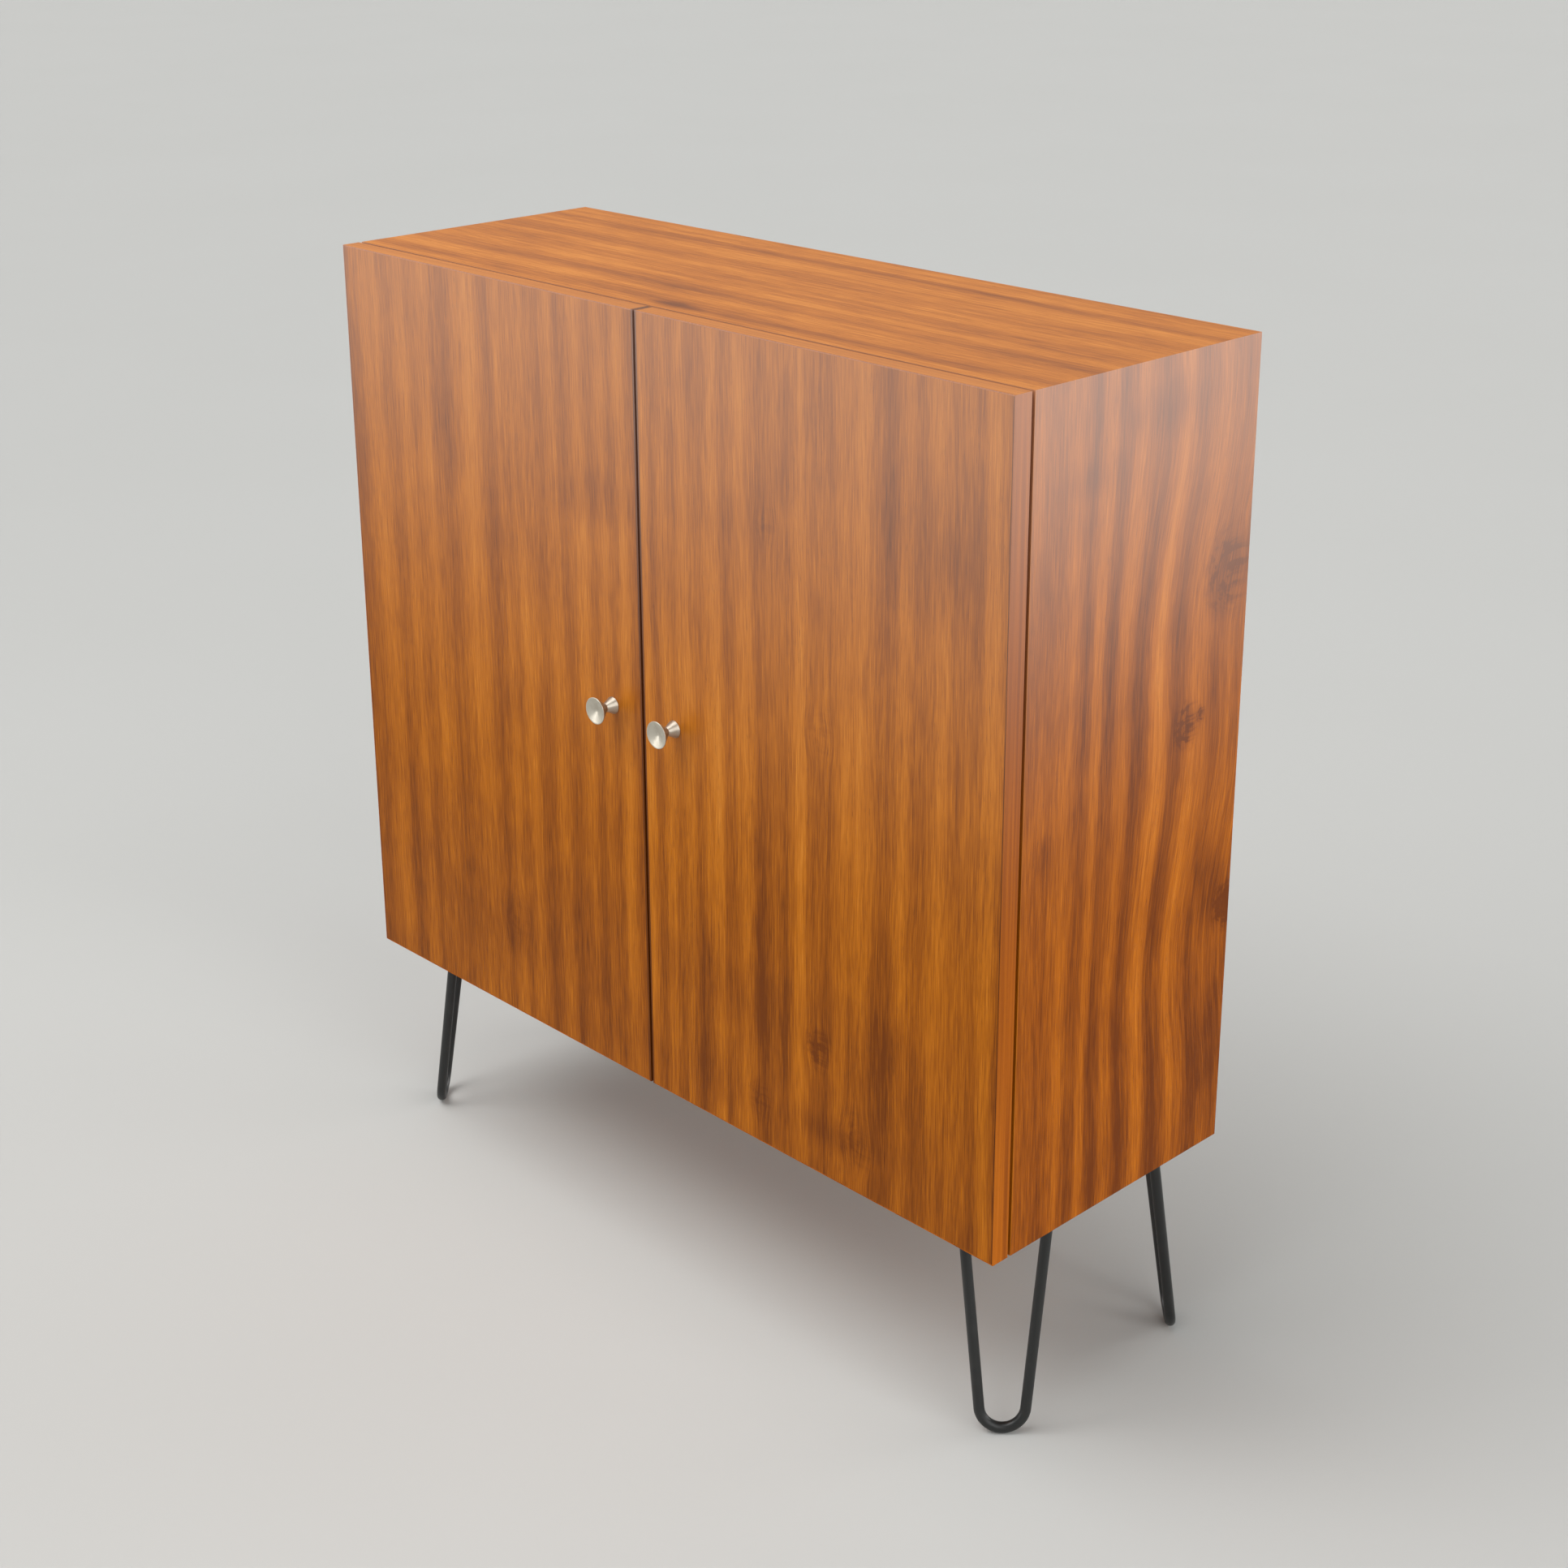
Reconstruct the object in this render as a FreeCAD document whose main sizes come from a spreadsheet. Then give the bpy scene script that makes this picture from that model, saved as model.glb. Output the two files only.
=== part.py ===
# Two-door cabinet on hairpin legs: mitred veneered carcass, overlay doors on
# concealed single-pivot cup hinges, two shelves on pins, turned knobs and magnetic catches.
# Millimetres. X runs to the right along the front, Y to the back, Z up from the floor,
# with the origin on the floor under the middle of the whole cabinet.
import FreeCAD, Part
import math
import os
import Sketcher

os.makedirs("parts", exist_ok=True)
doc = FreeCAD.newDocument("cabinet")
Vector = FreeCAD.Vector

# Driving sizes, piece by piece
driving_sizes = [
    # Whole cabinet
    ("cabinet_width", 880),
    ("carcass_height", 760),
    ("carcass_depth", 288.5),
    ("board_thickness", 19),
    ("edge_strip", 1),
    # Splines glued into the mitred corners
    ("spline_thickness", 4),
    ("spline_width", 12),
    ("spline_setback", 9),
    ("spline_play", 0.2),
    # Back panel in its rebate
    ("back_thickness", 5),
    ("back_rebate", 9),
    ("back_recess", 2.5),
    ("back_play", 0.5),
    ("back_screw_inset", 60),
    # Doors
    ("door_thickness", 19),
    ("door_gap", 3.5),
    ("centre_gap", 3),
    # Knobs
    ("knob_from_centre", 43),
    ("knob_reach", 22),
    ("knob_base_radius", 8.5),
    ("knob_waist_radius", 3.8),
    ("knob_waist_reach", 10),
    ("knob_disc_radius", 13),
    ("knob_rim", 0.9),
    ("knob_dish", 2.6),
    ("knob_hub_radius", 1.4),
    ("knob_bolt_radius", 2),
    ("knob_bolt_depth", 9),
    # Shelves and their pins
    ("shelf_thickness", 16),
    ("shelf_setback", 20),
    ("shelf_side_play", 1.5),
    ("shelf_back_play", 2),
    ("pin_radius", 2.5),
    ("pin_depth", 9),
    ("pin_collar_radius", 4),
    ("pin_collar", 1.4),
    ("pin_reach", 8),
    ("pin_pitch", 32),
    ("pin_front_inset", 52),
    ("pin_row_spacing", 192),
    ("shelf_steps", 4),
    ("pin_hole_steps", 5),
    # Hinge cup in the door
    ("hinge_from_end", 100),
    ("cup_edge_distance", 4),
    ("cup_radius", 17.5),
    ("cup_depth", 13),
    ("cup_wall", 1),
    ("flange_thickness", 1.2),
    ("flange_margin", 1.5),
    ("flange_screw_spacing", 45),
    ("flange_screw_offset", 9.5),
    ("flange_ear_radius", 5.5),
    # Hinge pivot and arm
    ("pivot_from_edge", 8),
    ("pivot_from_front", 9.5),
    ("hinge_pin_radius", 1.25),
    ("hinge_pin_length", 18.4),
    ("hinge_pin_boss_gap", 1.5),
    ("hinge_pin_boss_wall", 1.2),
    ("hinge_pin_play", 0.05),
    ("knuckle_radius", 2.1),
    ("arm_thickness", 2.5),
    ("arm_tongue_width", 7),
    ("arm_width", 15),
    ("arm_wall", 1.3),
    ("arm_channel_height", 9.5),
    ("arm_channel_length", 52),
    ("arm_channel_from_front", 31),
    ("arm_corner", 1.8),
    # Mounting plate on the side panel
    ("plate_thickness", 2),
    ("plate_length", 56),
    ("plate_half_width", 9),
    ("plate_screw_inset", 37),
    ("plate_screw_spacing", 34),
    ("plate_wing_radius", 7),
    ("rail_height", 7.6),
    ("rail_width", 11.4),
    ("rail_play", 0.5),
    # Magnetic catches
    ("catch_length", 46),
    ("catch_depth", 17),
    ("catch_height", 12),
    ("catch_setback", 3),
    ("catch_wall", 2),
    ("catch_screw_spacing", 36),
    ("magnet_length", 24),
    ("magnet_depth", 9),
    ("pole_thickness", 1.2),
    ("magnet_play", 0.3),
    ("strike_thickness", 1.2),
    ("strike_height", 11),
    ("strike_clearance", 0.4),
    # Hairpin legs
    ("leg_height", 205),
    ("leg_inset", 43),
    ("leg_lean", 8),
    ("leg_spread", 75),
    ("rod_radius", 5),
    ("leg_bend_radius", 21),
    # Leg plates
    ("leg_plate_thickness", 4),
    ("leg_plate_inset", 9),
    ("leg_plate_length", 90),
    ("leg_plate_tip", 25),
    ("leg_plate_corner", 4),
    ("leg_plate_hole_inset", 14),
    ("leg_plate_far_hole", 82),
    ("leg_plate_mid_hole", 45),
    # Screws
    ("screw_radius", 1.75),
    ("screw_length", 13),
    ("screw_head_radius", 3.5),
    ("screw_head", 1.8),
    ("leg_screw_radius", 2.2),
    ("leg_screw_length", 17),
    ("leg_screw_head_radius", 4.5),
    ("leg_screw_head", 2.5),
    ("screw_play", 0.05),
    # One overrun for every cut
    ("overrun", 2),
]

# A panel's face at 45 degrees runs this share of its slanted length along each axis
diagonal_share = math.sqrt(0.5)

# The outer end of a screw head, as a share of its widest radius
head_taper_share = 0.7

sheet = doc.addObject("Spreadsheet::Sheet", "sizes")
for row, (alias, number) in enumerate(driving_sizes, 1):
    sheet.set(f"A{row}", alias)
    sheet.set(f"B{row}", str(number))
    sheet.setAlias(f"B{row}", alias)
doc.recompute()


class Size:
    """A length or angle: its number now, and the sheet expression that keeps it up to date."""

    def __init__(self, number, text):
        self.number = number
        self.text = text

    def __add__(self, other):
        other = as_size(other)
        return Size(self.number + other.number, f"({self.text} + {other.text})")

    def __sub__(self, other):
        other = as_size(other)
        return Size(self.number - other.number, f"({self.text} - {other.text})")

    def __mul__(self, other):
        other = as_size(other)
        return Size(self.number * other.number, f"({self.text} * {other.text})")

    def __truediv__(self, other):
        other = as_size(other)
        return Size(self.number / other.number, f"({self.text} / {other.text})")

    def __neg__(self):
        return Size(-self.number, f"(-1 * {self.text})")

    def __rmul__(self, other):
        return as_size(other) * self

    def __radd__(self, other):
        return as_size(other) + self


def as_size(value):
    return value if isinstance(value, Size) else Size(value, repr(value))


def size(alias):
    return Size(float(sheet.get(alias)), f"sizes.{alias}")


def cosine(angle):
    return Size(math.cos(math.radians(angle.number)), f"cos({angle.text})")


zero = as_size(0)

# Levels and faces that several pieces share
half_width = size("cabinet_width") / 2
half_height = size("carcass_height") / 2
board = size("board_thickness")
total_depth = size("knob_reach") + size("door_thickness") + size("door_gap") + size("carcass_depth")
door_front = size("knob_reach") - total_depth / 2
door_back = door_front + size("door_thickness")
carcass_front = door_back + size("door_gap")
carcass_back = carcass_front + size("carcass_depth")
carcass_bottom = size("leg_height")
carcass_middle = carcass_bottom + half_height
carcass_top = carcass_bottom + size("carcass_height")
board_front = carcass_front + size("edge_strip")
board_depth = size("carcass_depth") - size("edge_strip")
back_panel_rear = carcass_back - size("back_recess")
rebate_depth = size("back_recess") + size("back_thickness")
door_width = half_width - size("centre_gap") / 2
cup_centre = size("cup_edge_distance") + size("cup_radius")
hinge_level = half_height - size("hinge_from_end")
arm_seat = board + size("plate_thickness")
plate_screw_line = size("door_thickness") + size("door_gap") + size("plate_screw_inset")
plate_start = plate_screw_line - size("plate_length") / 2
channel_end = size("arm_channel_from_front") + size("arm_channel_length")
arm_screw_line = channel_end - size("arm_wall") - size("screw_head_radius") * 2
catch_level = size("catch_height") / 2
shelf_pin_level = size("shelf_steps") * size("pin_pitch")
screw_hole_radius = size("screw_radius") + size("screw_play")
leg_screw_hole_radius = size("leg_screw_radius") + size("screw_play")
knob_hole_radius = size("knob_bolt_radius") + size("screw_play")


def bind(target, path, value):
    """Tie one property of an object to its size."""
    target.setExpression(path, as_size(value).text)


def place(piece, x, y, z, axis=(0, 0, 1), turn=0):
    """Put a piece at a point, turned about an axis by an angle in degrees."""
    spot = Vector(as_size(x).number, as_size(y).number, as_size(z).number)
    piece.Placement = FreeCAD.Placement(spot, FreeCAD.Rotation(Vector(*axis), turn))
    for name, value in zip("xyz", (x, y, z)):
        bind(piece, f"Placement.Base.{name}", value)
    return piece


def new_body(label):
    body = doc.addObject("PartDesign::Body", label)
    body.Label = label
    return body


def datum(body, role):
    return [item for item in body.Origin.OriginFeatures if item.Role == role][0]


def new_sketch(body, role, offset=zero):
    """A sketch on one of the body's own origin planes, moved along its normal."""
    sketch = body.newObject("Sketcher::SketchObject", f"{body.Name}_sketch")
    sketch.AttachmentSupport = [(datum(body, role), "")]
    sketch.MapMode = "FlatFace"
    bind(sketch, "AttachmentOffset.Base.z", offset)
    return sketch


def hold(sketch, geometry, point, x, y):
    """Fix one point of a sketch at x, y from the sketch's origin."""
    for kind, value, axis in (("DistanceX", as_size(x), -2), ("DistanceY", as_size(y), -1)):
        if value.text == "0":
            sketch.addConstraint(Sketcher.Constraint("PointOnObject", geometry, point, axis))
        else:
            index = sketch.addConstraint(
                Sketcher.Constraint(kind, -1, 1, geometry, point, value.number))
            bind(sketch, f"Constraints[{index}]", value)


def add_outline(sketch, corners):
    """A closed straight-sided outline through the corners."""
    first = sketch.GeometryCount
    points = [Vector(as_size(x).number, as_size(y).number, 0) for x, y in corners]
    lines = [Part.LineSegment(a, b) for a, b in zip(points, points[1:] + points[:1])]
    sketch.addGeometry(lines, False)
    for number in range(len(corners)):
        following = first + (number + 1) % len(corners)
        sketch.addConstraint(Sketcher.Constraint("Coincident", first + number, 2, following, 1))
    for number, (x, y) in enumerate(corners):
        hold(sketch, first + number, 1, x, y)


def add_rectangle(sketch, left, low, right, high):
    add_outline(sketch, [(left, low), (right, low), (right, high), (left, high)])


def add_circle(sketch, x, y, radius):
    centre = Vector(as_size(x).number, as_size(y).number, 0)
    index = sketch.addGeometry(Part.Circle(centre, Vector(0, 0, 1), as_size(radius).number), False)
    hold(sketch, index, 3, x, y)
    constraint = sketch.addConstraint(Sketcher.Constraint("Radius", index, as_size(radius).number))
    bind(sketch, f"Constraints[{constraint}]", radius)


def extrude(body, kind, sketch, length, reverse=False, both_ways=False):
    """A pad or pocket; both_ways puts half of the length on each side of the sketch."""
    feature = body.newObject(f"PartDesign::{kind}", f"{body.Name}_{kind.lower()}")
    feature.Profile = sketch
    bind(feature, "Length", length)
    feature.Reversed = reverse
    if both_ways:
        feature.SideType = "Symmetric"
    return feature


def pad(body, sketch, length, **options):
    return extrude(body, "Pad", sketch, length, **options)


def cut(body, sketch, length, **options):
    """A pocket that has to take material away."""
    doc.recompute()
    before = body.Shape.Volume
    feature = extrude(body, "Pocket", sketch, length, **options)
    doc.recompute()
    if body.Shape.Volume >= before:
        raise RuntimeError(f"{feature.Name} removes nothing")
    return feature


def fillet(body, feature, wanted, radius):
    """Round the edges of a feature that pass the test given by wanted."""
    doc.recompute()
    names = [f"Edge{number}" for number, edge in enumerate(feature.Shape.Edges, 1) if wanted(edge)]
    rounding = body.newObject("PartDesign::Fillet", f"{body.Name}_fillet")
    rounding.Base = (feature, names)
    bind(rounding, "Radius", radius)
    return rounding


def repeat(body, feature, role, spacing, copies):
    """A row of one feature along an axis of the body."""
    pattern = body.newObject("PartDesign::LinearPattern", f"{body.Name}_row")
    pattern.Originals = [feature]
    pattern.Direction = (datum(body, role), [""])
    bind(pattern, "Length", spacing * (as_size(copies) - 1))
    bind(pattern, "Occurrences", copies)
    body.Tip = pattern
    return pattern


def mirror_about(body, feature, role):
    mirrored = body.newObject("PartDesign::Mirrored", f"{body.Name}_mirror")
    mirrored.Originals = [feature]
    mirrored.MirrorPlane = (datum(body, role), [""])
    body.Tip = mirrored
    return mirrored


def cylinder(name, radius, length):
    piece = doc.addObject("Part::Cylinder", name)
    bind(piece, "Radius", radius)
    bind(piece, "Height", length)
    return piece


def block(name, length, width, height):
    piece = doc.addObject("Part::Box", name)
    bind(piece, "Length", length)
    bind(piece, "Width", width)
    bind(piece, "Height", height)
    return piece


def group(label, pieces):
    """Several solids under one name; those that overlap become one solid."""
    union = doc.addObject("Part::MultiFuse", label)
    union.Label = label
    union.Shapes = pieces
    return union


# The way each screw goes in, as the turn that brings +Z to it and its direction
drive_ways = {
    "up": ((0, 0, 1), 0, (0, 0, 1)),
    "forward": ((1, 0, 0), 90, (0, -1, 0)),
    "left": ((0, 1, 0), -90, (-1, 0, 0)),
    "right": ((0, 1, 0), 90, (1, 0, 0)),
}


def screw(name, spot, way, radius, length, head_radius, head):
    """A shank that starts at the spot, with a tapered round head behind it."""
    axis, turn, direction = drive_ways[way]
    shank = place(cylinder(f"{name}_shank", radius, length), *spot, axis, turn)
    cap = doc.addObject("Part::Cone", f"{name}_head")
    bind(cap, "Radius1", head_radius * head_taper_share)
    bind(cap, "Radius2", head_radius)
    bind(cap, "Height", head)
    behind = [as_size(value) - head * step for value, step in zip(spot, direction)]
    place(cap, *behind, axis, turn)
    return [shank, cap]


def wood_screws(label, spots, length=size("screw_length")):
    """Small pan-head screws; each spot is a point under the head and a way in."""
    solids = []
    for spot, way in spots:
        solids += screw(label, spot, way, size("screw_radius"), length,
                        size("screw_head_radius"), size("screw_head"))
    return group(label, solids)


def spline_notch(inner, outward, into):
    """The four corners of a spline's groove in a mitred face, from the inner corner outwards."""
    half = size("spline_thickness") / 2
    deep = (size("spline_width") / 2 + size("spline_play")) * diagonal_share
    near = (size("spline_setback") - half) * diagonal_share
    far = (size("spline_setback") + half) * diagonal_share
    corners = []
    for along, depth in ((near, zero), (near, deep), (far, deep), (far, zero)):
        corners.append(tuple(start + along * out + depth * inside
                             for start, out, inside in zip(inner, outward, into)))
    return corners


def side_panel(label, side):
    """A side of the carcass: mitred ends with spline grooves, back rebate, two rows of pin holes."""
    body = new_body(label)
    low_inner = (board, board - half_height)
    high_inner = (board, half_height - board)
    corners = [(zero, -half_height)]
    corners += reversed(spline_notch(low_inner, (-1, -1), (-1, 1)))
    corners += [low_inner, high_inner]
    corners += spline_notch(high_inner, (-1, 1), (-1, -1))
    corners += [(zero, half_height)]
    sketch = new_sketch(body, "XZ_Plane")
    add_outline(sketch, corners)
    pad(body, sketch, board_depth, reverse=True)
    rebate = new_sketch(body, "XY_Plane")
    add_rectangle(rebate, board - size("back_rebate"), board_depth - rebate_depth,
                  board + size("overrun"), board_depth + size("overrun"))
    cut(body, rebate, size("carcass_height"), both_ways=True)
    back_holes = new_sketch(body, "XZ_Plane", rebate_depth - board_depth)
    for step in (-1, 0, 1):
        level = (half_height - size("back_screw_inset")) * step
        add_circle(back_holes, board - size("back_rebate") / 2, level, screw_hole_radius)
    cut(body, back_holes, size("screw_length") - size("back_thickness"), reverse=True)
    plate_holes = new_sketch(body, "YZ_Plane", board)
    line = size("plate_screw_inset") - size("edge_strip")
    for end in (-1, 1):
        for way in (-1, 1):
            level = hinge_level * end + size("plate_screw_spacing") / 2 * way
            add_circle(plate_holes, line, level, screw_hole_radius)
    cut(body, plate_holes, size("screw_length"))
    first_pins = new_sketch(body, "YZ_Plane", board)
    lowest = size("pin_pitch") * size("pin_hole_steps") * -1
    for row in (0, 1):
        depth = size("pin_front_inset") - size("edge_strip") + size("pin_row_spacing") * row
        add_circle(first_pins, depth, lowest, size("pin_radius"))
    hole = cut(body, first_pins, size("pin_depth") + size("spline_play"))
    repeat(body, hole, "Z_Axis", size("pin_pitch"), size("pin_hole_steps") * 2 + 1)
    return place(body, half_width * side, board_front, carcass_middle, (0, 1, 0), 90 + 90 * side)


def flat_panel(label, level, turn):
    """The top or bottom of the carcass, drawn under its outer face."""
    body = new_body(label)
    left_inner = (board - half_width, -board)
    right_inner = (half_width - board, -board)
    corners = [(-half_width, zero)]
    corners += reversed(spline_notch(left_inner, (-1, 1), (1, 1)))
    corners += [left_inner, right_inner]
    corners += spline_notch(right_inner, (1, 1), (-1, 1))
    corners += [(half_width, zero)]
    sketch = new_sketch(body, "XZ_Plane")
    add_outline(sketch, corners)
    pad(body, sketch, board_depth, reverse=True)
    rebate = new_sketch(body, "YZ_Plane")
    add_rectangle(rebate, board_depth - rebate_depth, -board - size("overrun"),
                  board_depth + size("overrun"), size("back_rebate") - board)
    cut(body, rebate, size("cabinet_width"), both_ways=True)
    back_holes = new_sketch(body, "XZ_Plane", rebate_depth - board_depth)
    for step in (-1, 0, 1):
        across = (half_width - size("back_screw_inset")) * step
        add_circle(back_holes, across, size("back_rebate") / 2 - board, screw_hole_radius)
    cut(body, back_holes, size("screw_length") - size("back_thickness"), reverse=True)
    return place(body, zero, board_front, level, (0, 1, 0), turn)


def top_panel():
    """The top, with the catch screw holes on its underside."""
    body = flat_panel("top_panel", carcass_top, 0)
    holes = new_sketch(body, "XY_Plane", -board)
    for side in (-1, 1):
        for way in (-1, 1):
            across = size("knob_from_centre") * side + size("catch_screw_spacing") / 2 * way
            add_circle(holes, across, catch_screw_depth() - size("edge_strip"), screw_hole_radius)
    cut(body, holes, size("screw_length") + size("overrun") - size("catch_wall"), reverse=True)
    return body


def bottom_panel():
    """The bottom, with the leg screw holes on its underside."""
    body = flat_panel("bottom_panel", carcass_bottom, 180)
    holes = new_sketch(body, "XY_Plane")
    for side in (-1, 1):
        for x, y in leg_screw_spots(side):
            add_circle(holes, x, y - board_front, leg_screw_hole_radius)
    cut(body, holes, size("leg_screw_length") - size("leg_plate_thickness") + size("screw_play"))
    return body


def corner_splines():
    """Four plywood splines, each lying across a mitred corner at 45 degrees."""
    splines = []
    length = board_depth - rebate_depth - size("spline_play")
    for side in (-1, 1):
        for end in (-1, 1):
            along = (size("spline_thickness"), size("spline_width"))
            if side == end:
                along = along[::-1]
            setback = size("spline_setback") * diagonal_share
            inner_x = (half_width - board + setback) * side
            inner_z = carcass_middle + (half_height - board + setback) * end
            reach = (along[0] + along[1]) / 2 * diagonal_share
            drop = (along[1] - along[0]) / 2 * diagonal_share
            spline = block("spline", along[0], length, along[1])
            place(spline, inner_x - reach, board_front, inner_z - drop, (0, 1, 0), 45)
            splines.append(spline)
    return group("corner_splines", splines)


def upright_strip(label, side):
    """The veneer strip on the front edge of a side panel, mitred at both ends."""
    body = new_body(label)
    sketch = new_sketch(body, "XZ_Plane")
    add_outline(sketch, [(zero, -half_height), (board, board - half_height),
                         (board, half_height - board), (zero, half_height)])
    pad(body, sketch, size("edge_strip"), reverse=True)
    return place(body, half_width * side, carcass_front, carcass_middle, (0, 1, 0), 90 + 90 * side)


def level_strip(label, level, turn):
    """The veneer strip on the front edge of the top or bottom, mitred at both ends."""
    body = new_body(label)
    sketch = new_sketch(body, "XZ_Plane")
    add_outline(sketch, [(-half_width, zero), (board - half_width, -board),
                         (half_width - board, -board), (half_width, zero)])
    pad(body, sketch, size("edge_strip"), reverse=True)
    return place(body, zero, carcass_front, level, (0, 1, 0), turn)


def back_screw_spots():
    """Points round the back panel's edge, on its rear face, seen from its middle."""
    reach_x = half_width - board + size("back_rebate") / 2
    reach_z = half_height - board + size("back_rebate") / 2
    corner_x = half_width - size("back_screw_inset")
    corner_z = half_height - size("back_screw_inset")
    spots = [(corner_x * step, reach_z * end) for step in (-1, 0, 1) for end in (-1, 1)]
    return spots + [(reach_x * side, corner_z * step) for side in (-1, 1) for step in (-1, 0, 1)]


def back_panel():
    """Thin panel let into the rebate round the back, with its screw holes."""
    body = new_body("back_panel")
    sketch = new_sketch(body, "XZ_Plane")
    reach_x = half_width - board + size("back_rebate") - size("back_play")
    reach_z = half_height - board + size("back_rebate") - size("back_play")
    add_rectangle(sketch, -reach_x, -reach_z, reach_x, reach_z)
    pad(body, sketch, size("back_thickness"))
    holes = new_sketch(body, "XZ_Plane")
    for x, z in back_screw_spots():
        add_circle(holes, x, z, screw_hole_radius)
    cut(body, holes, size("back_thickness") + size("overrun"), reverse=True)
    return place(body, zero, back_panel_rear, carcass_middle)


def back_screws():
    """Screws through the back panel's edge into the boards, their heads inside the recess."""
    spots = [((x, back_panel_rear, carcass_middle + z), "forward") for x, z in back_screw_spots()]
    return wood_screws("back_panel_screws", spots)


def shelf_level(end):
    """The underside of a shelf, on top of its pins."""
    return carcass_middle + shelf_pin_level * end + size("pin_radius")


def shelf(label, end):
    """A shelf board behind its front strip."""
    body = new_body(label)
    sketch = new_sketch(body, "XY_Plane")
    reach = half_width - board - size("shelf_side_play")
    depth = (size("carcass_depth") - rebate_depth - size("shelf_back_play")
             - size("shelf_setback") - size("edge_strip"))
    add_rectangle(sketch, -reach, zero, reach, depth)
    pad(body, sketch, size("shelf_thickness"))
    front = carcass_front + size("shelf_setback") + size("edge_strip")
    return place(body, zero, front, shelf_level(end))


def shelf_strip(label, end):
    """The veneer strip along a shelf's front edge."""
    reach = half_width - board - size("shelf_side_play")
    strip = block(label, reach * 2, size("edge_strip"), size("shelf_thickness"))
    strip.Label = label
    return place(strip, -reach, carcass_front + size("shelf_setback"), shelf_level(end))


def shelf_pins(label, end):
    """Four stepped pins: a shank in the hole, a collar on the panel, a peg under the shelf."""
    solids = []
    for side, way in ((-1, "right"), (1, "left")):
        axis, turn, direction = drive_ways[way]
        face = (half_width - board) * side
        for row in (0, 1):
            depth = carcass_front + size("pin_front_inset") + size("pin_row_spacing") * row
            level = carcass_middle + shelf_pin_level * end
            stem = size("pin_depth") + size("pin_collar") + size("pin_reach")
            peg = cylinder("pin_stem", size("pin_radius"), stem)
            place(peg, face - size("pin_depth") * direction[0], depth, level, axis, turn)
            collar = cylinder("pin_collar", size("pin_collar_radius"), size("pin_collar"))
            place(collar, face, depth, level, axis, turn)
            solids += [peg, collar]
    return group(label, solids)


def door_panel(label, side):
    """A door board with its cup bores, cup screw holes, strike holes and knob hole."""
    body = new_body(label)
    strip = size("edge_strip")
    sketch = new_sketch(body, "XZ_Plane")
    add_rectangle(sketch, strip, strip - half_height, door_width - strip, half_height - strip)
    pad(body, sketch, size("door_thickness"), reverse=True)
    back = -size("door_thickness")
    bores = new_sketch(body, "XZ_Plane", back)
    holes = new_sketch(body, "XZ_Plane", back)
    for end in (-1, 1):
        add_circle(bores, cup_centre, hinge_level * end, size("cup_radius"))
        for way in (-1, 1):
            level = hinge_level * end + size("flange_screw_spacing") / 2 * way
            add_circle(holes, cup_centre + size("flange_screw_offset"), level, screw_hole_radius)
    strike_x = half_width - size("knob_from_centre")
    for way in (-1, 1):
        across = strike_x + size("catch_screw_spacing") / 2 * way
        level = (half_height - board - catch_level) * -side
        add_circle(holes, across, level, screw_hole_radius)
    cut(body, bores, size("cup_depth"), reverse=True)
    cut(body, holes, size("screw_length"), reverse=True)
    knob_hole = new_sketch(body, "XZ_Plane")
    add_circle(knob_hole, strike_x, zero, knob_hole_radius)
    cut(body, knob_hole, size("door_thickness"))
    return place(body, half_width * side, door_front, carcass_middle, (0, 1, 0), 90 + 90 * side)


def door_strips(label, side):
    """The four strips round a door's edges: full-height stiles with rails between them."""
    strip = size("edge_strip")
    outer = half_width * side
    inner = size("centre_gap") / 2 * side
    low_x = outer if side < 0 else inner
    high_x = inner if side < 0 else outer
    pieces = []
    for x in (low_x, high_x - strip):
        stile = block("stile_strip", strip, size("door_thickness"), size("carcass_height"))
        pieces.append(place(stile, x, door_front, carcass_bottom))
    for z in (carcass_bottom, carcass_top - strip):
        rail = block("rail_strip", door_width - strip * 2, size("door_thickness"), strip)
        pieces.append(place(rail, low_x + strip, door_front, z))
    strips = doc.addObject("Part::Compound", label)
    strips.Label = label
    strips.Links = pieces
    return strips


def knob(label, side):
    """A turned knob: cone base, narrow waist, wide disc with a shallow cone dished into its face."""
    body = new_body(label)
    reach = size("knob_reach")
    sketch = new_sketch(body, "XZ_Plane")
    add_outline(sketch, [
        (zero, zero),
        (size("knob_base_radius"), zero),
        (size("knob_waist_radius"), size("knob_waist_reach")),
        (size("knob_disc_radius"), reach - size("knob_rim")),
        (size("knob_disc_radius"), reach),
        (size("knob_disc_radius") - size("knob_rim"), reach),
        (size("knob_hub_radius"), reach - size("knob_dish")),
        (zero, reach - size("knob_dish")),
    ])
    turned = body.newObject("PartDesign::Revolution", f"{label}_turned")
    turned.Profile = sketch
    turned.ReferenceAxis = (sketch, ["V_Axis"])
    turned.Angle = 360
    bolt_hole = new_sketch(body, "XY_Plane")
    add_circle(bolt_hole, zero, zero, knob_hole_radius)
    cut(body, bolt_hole, size("knob_bolt_depth") + size("screw_play"), reverse=True)
    x = size("knob_from_centre") * side
    return place(body, x, door_front, carcass_middle, (1, 0, 0), 90)


def knob_screw(label, side):
    """The machine screw through the door into the knob, with its head inside the cabinet."""
    spot = (size("knob_from_centre") * side, door_back, carcass_middle)
    length = size("door_thickness") + size("knob_bolt_depth")
    return group(label, screw(label, spot, "forward", size("knob_bolt_radius"), length,
                              size("leg_screw_head_radius"), size("screw_head")))


def on_hinge(body, side, end):
    """Put a hinge piece at the door's outer edge and front face, at its hinge's height."""
    level = carcass_middle + hinge_level * end
    return place(body, half_width * side, door_front, level, (0, 1, 0), 90 + 90 * side)


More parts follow.
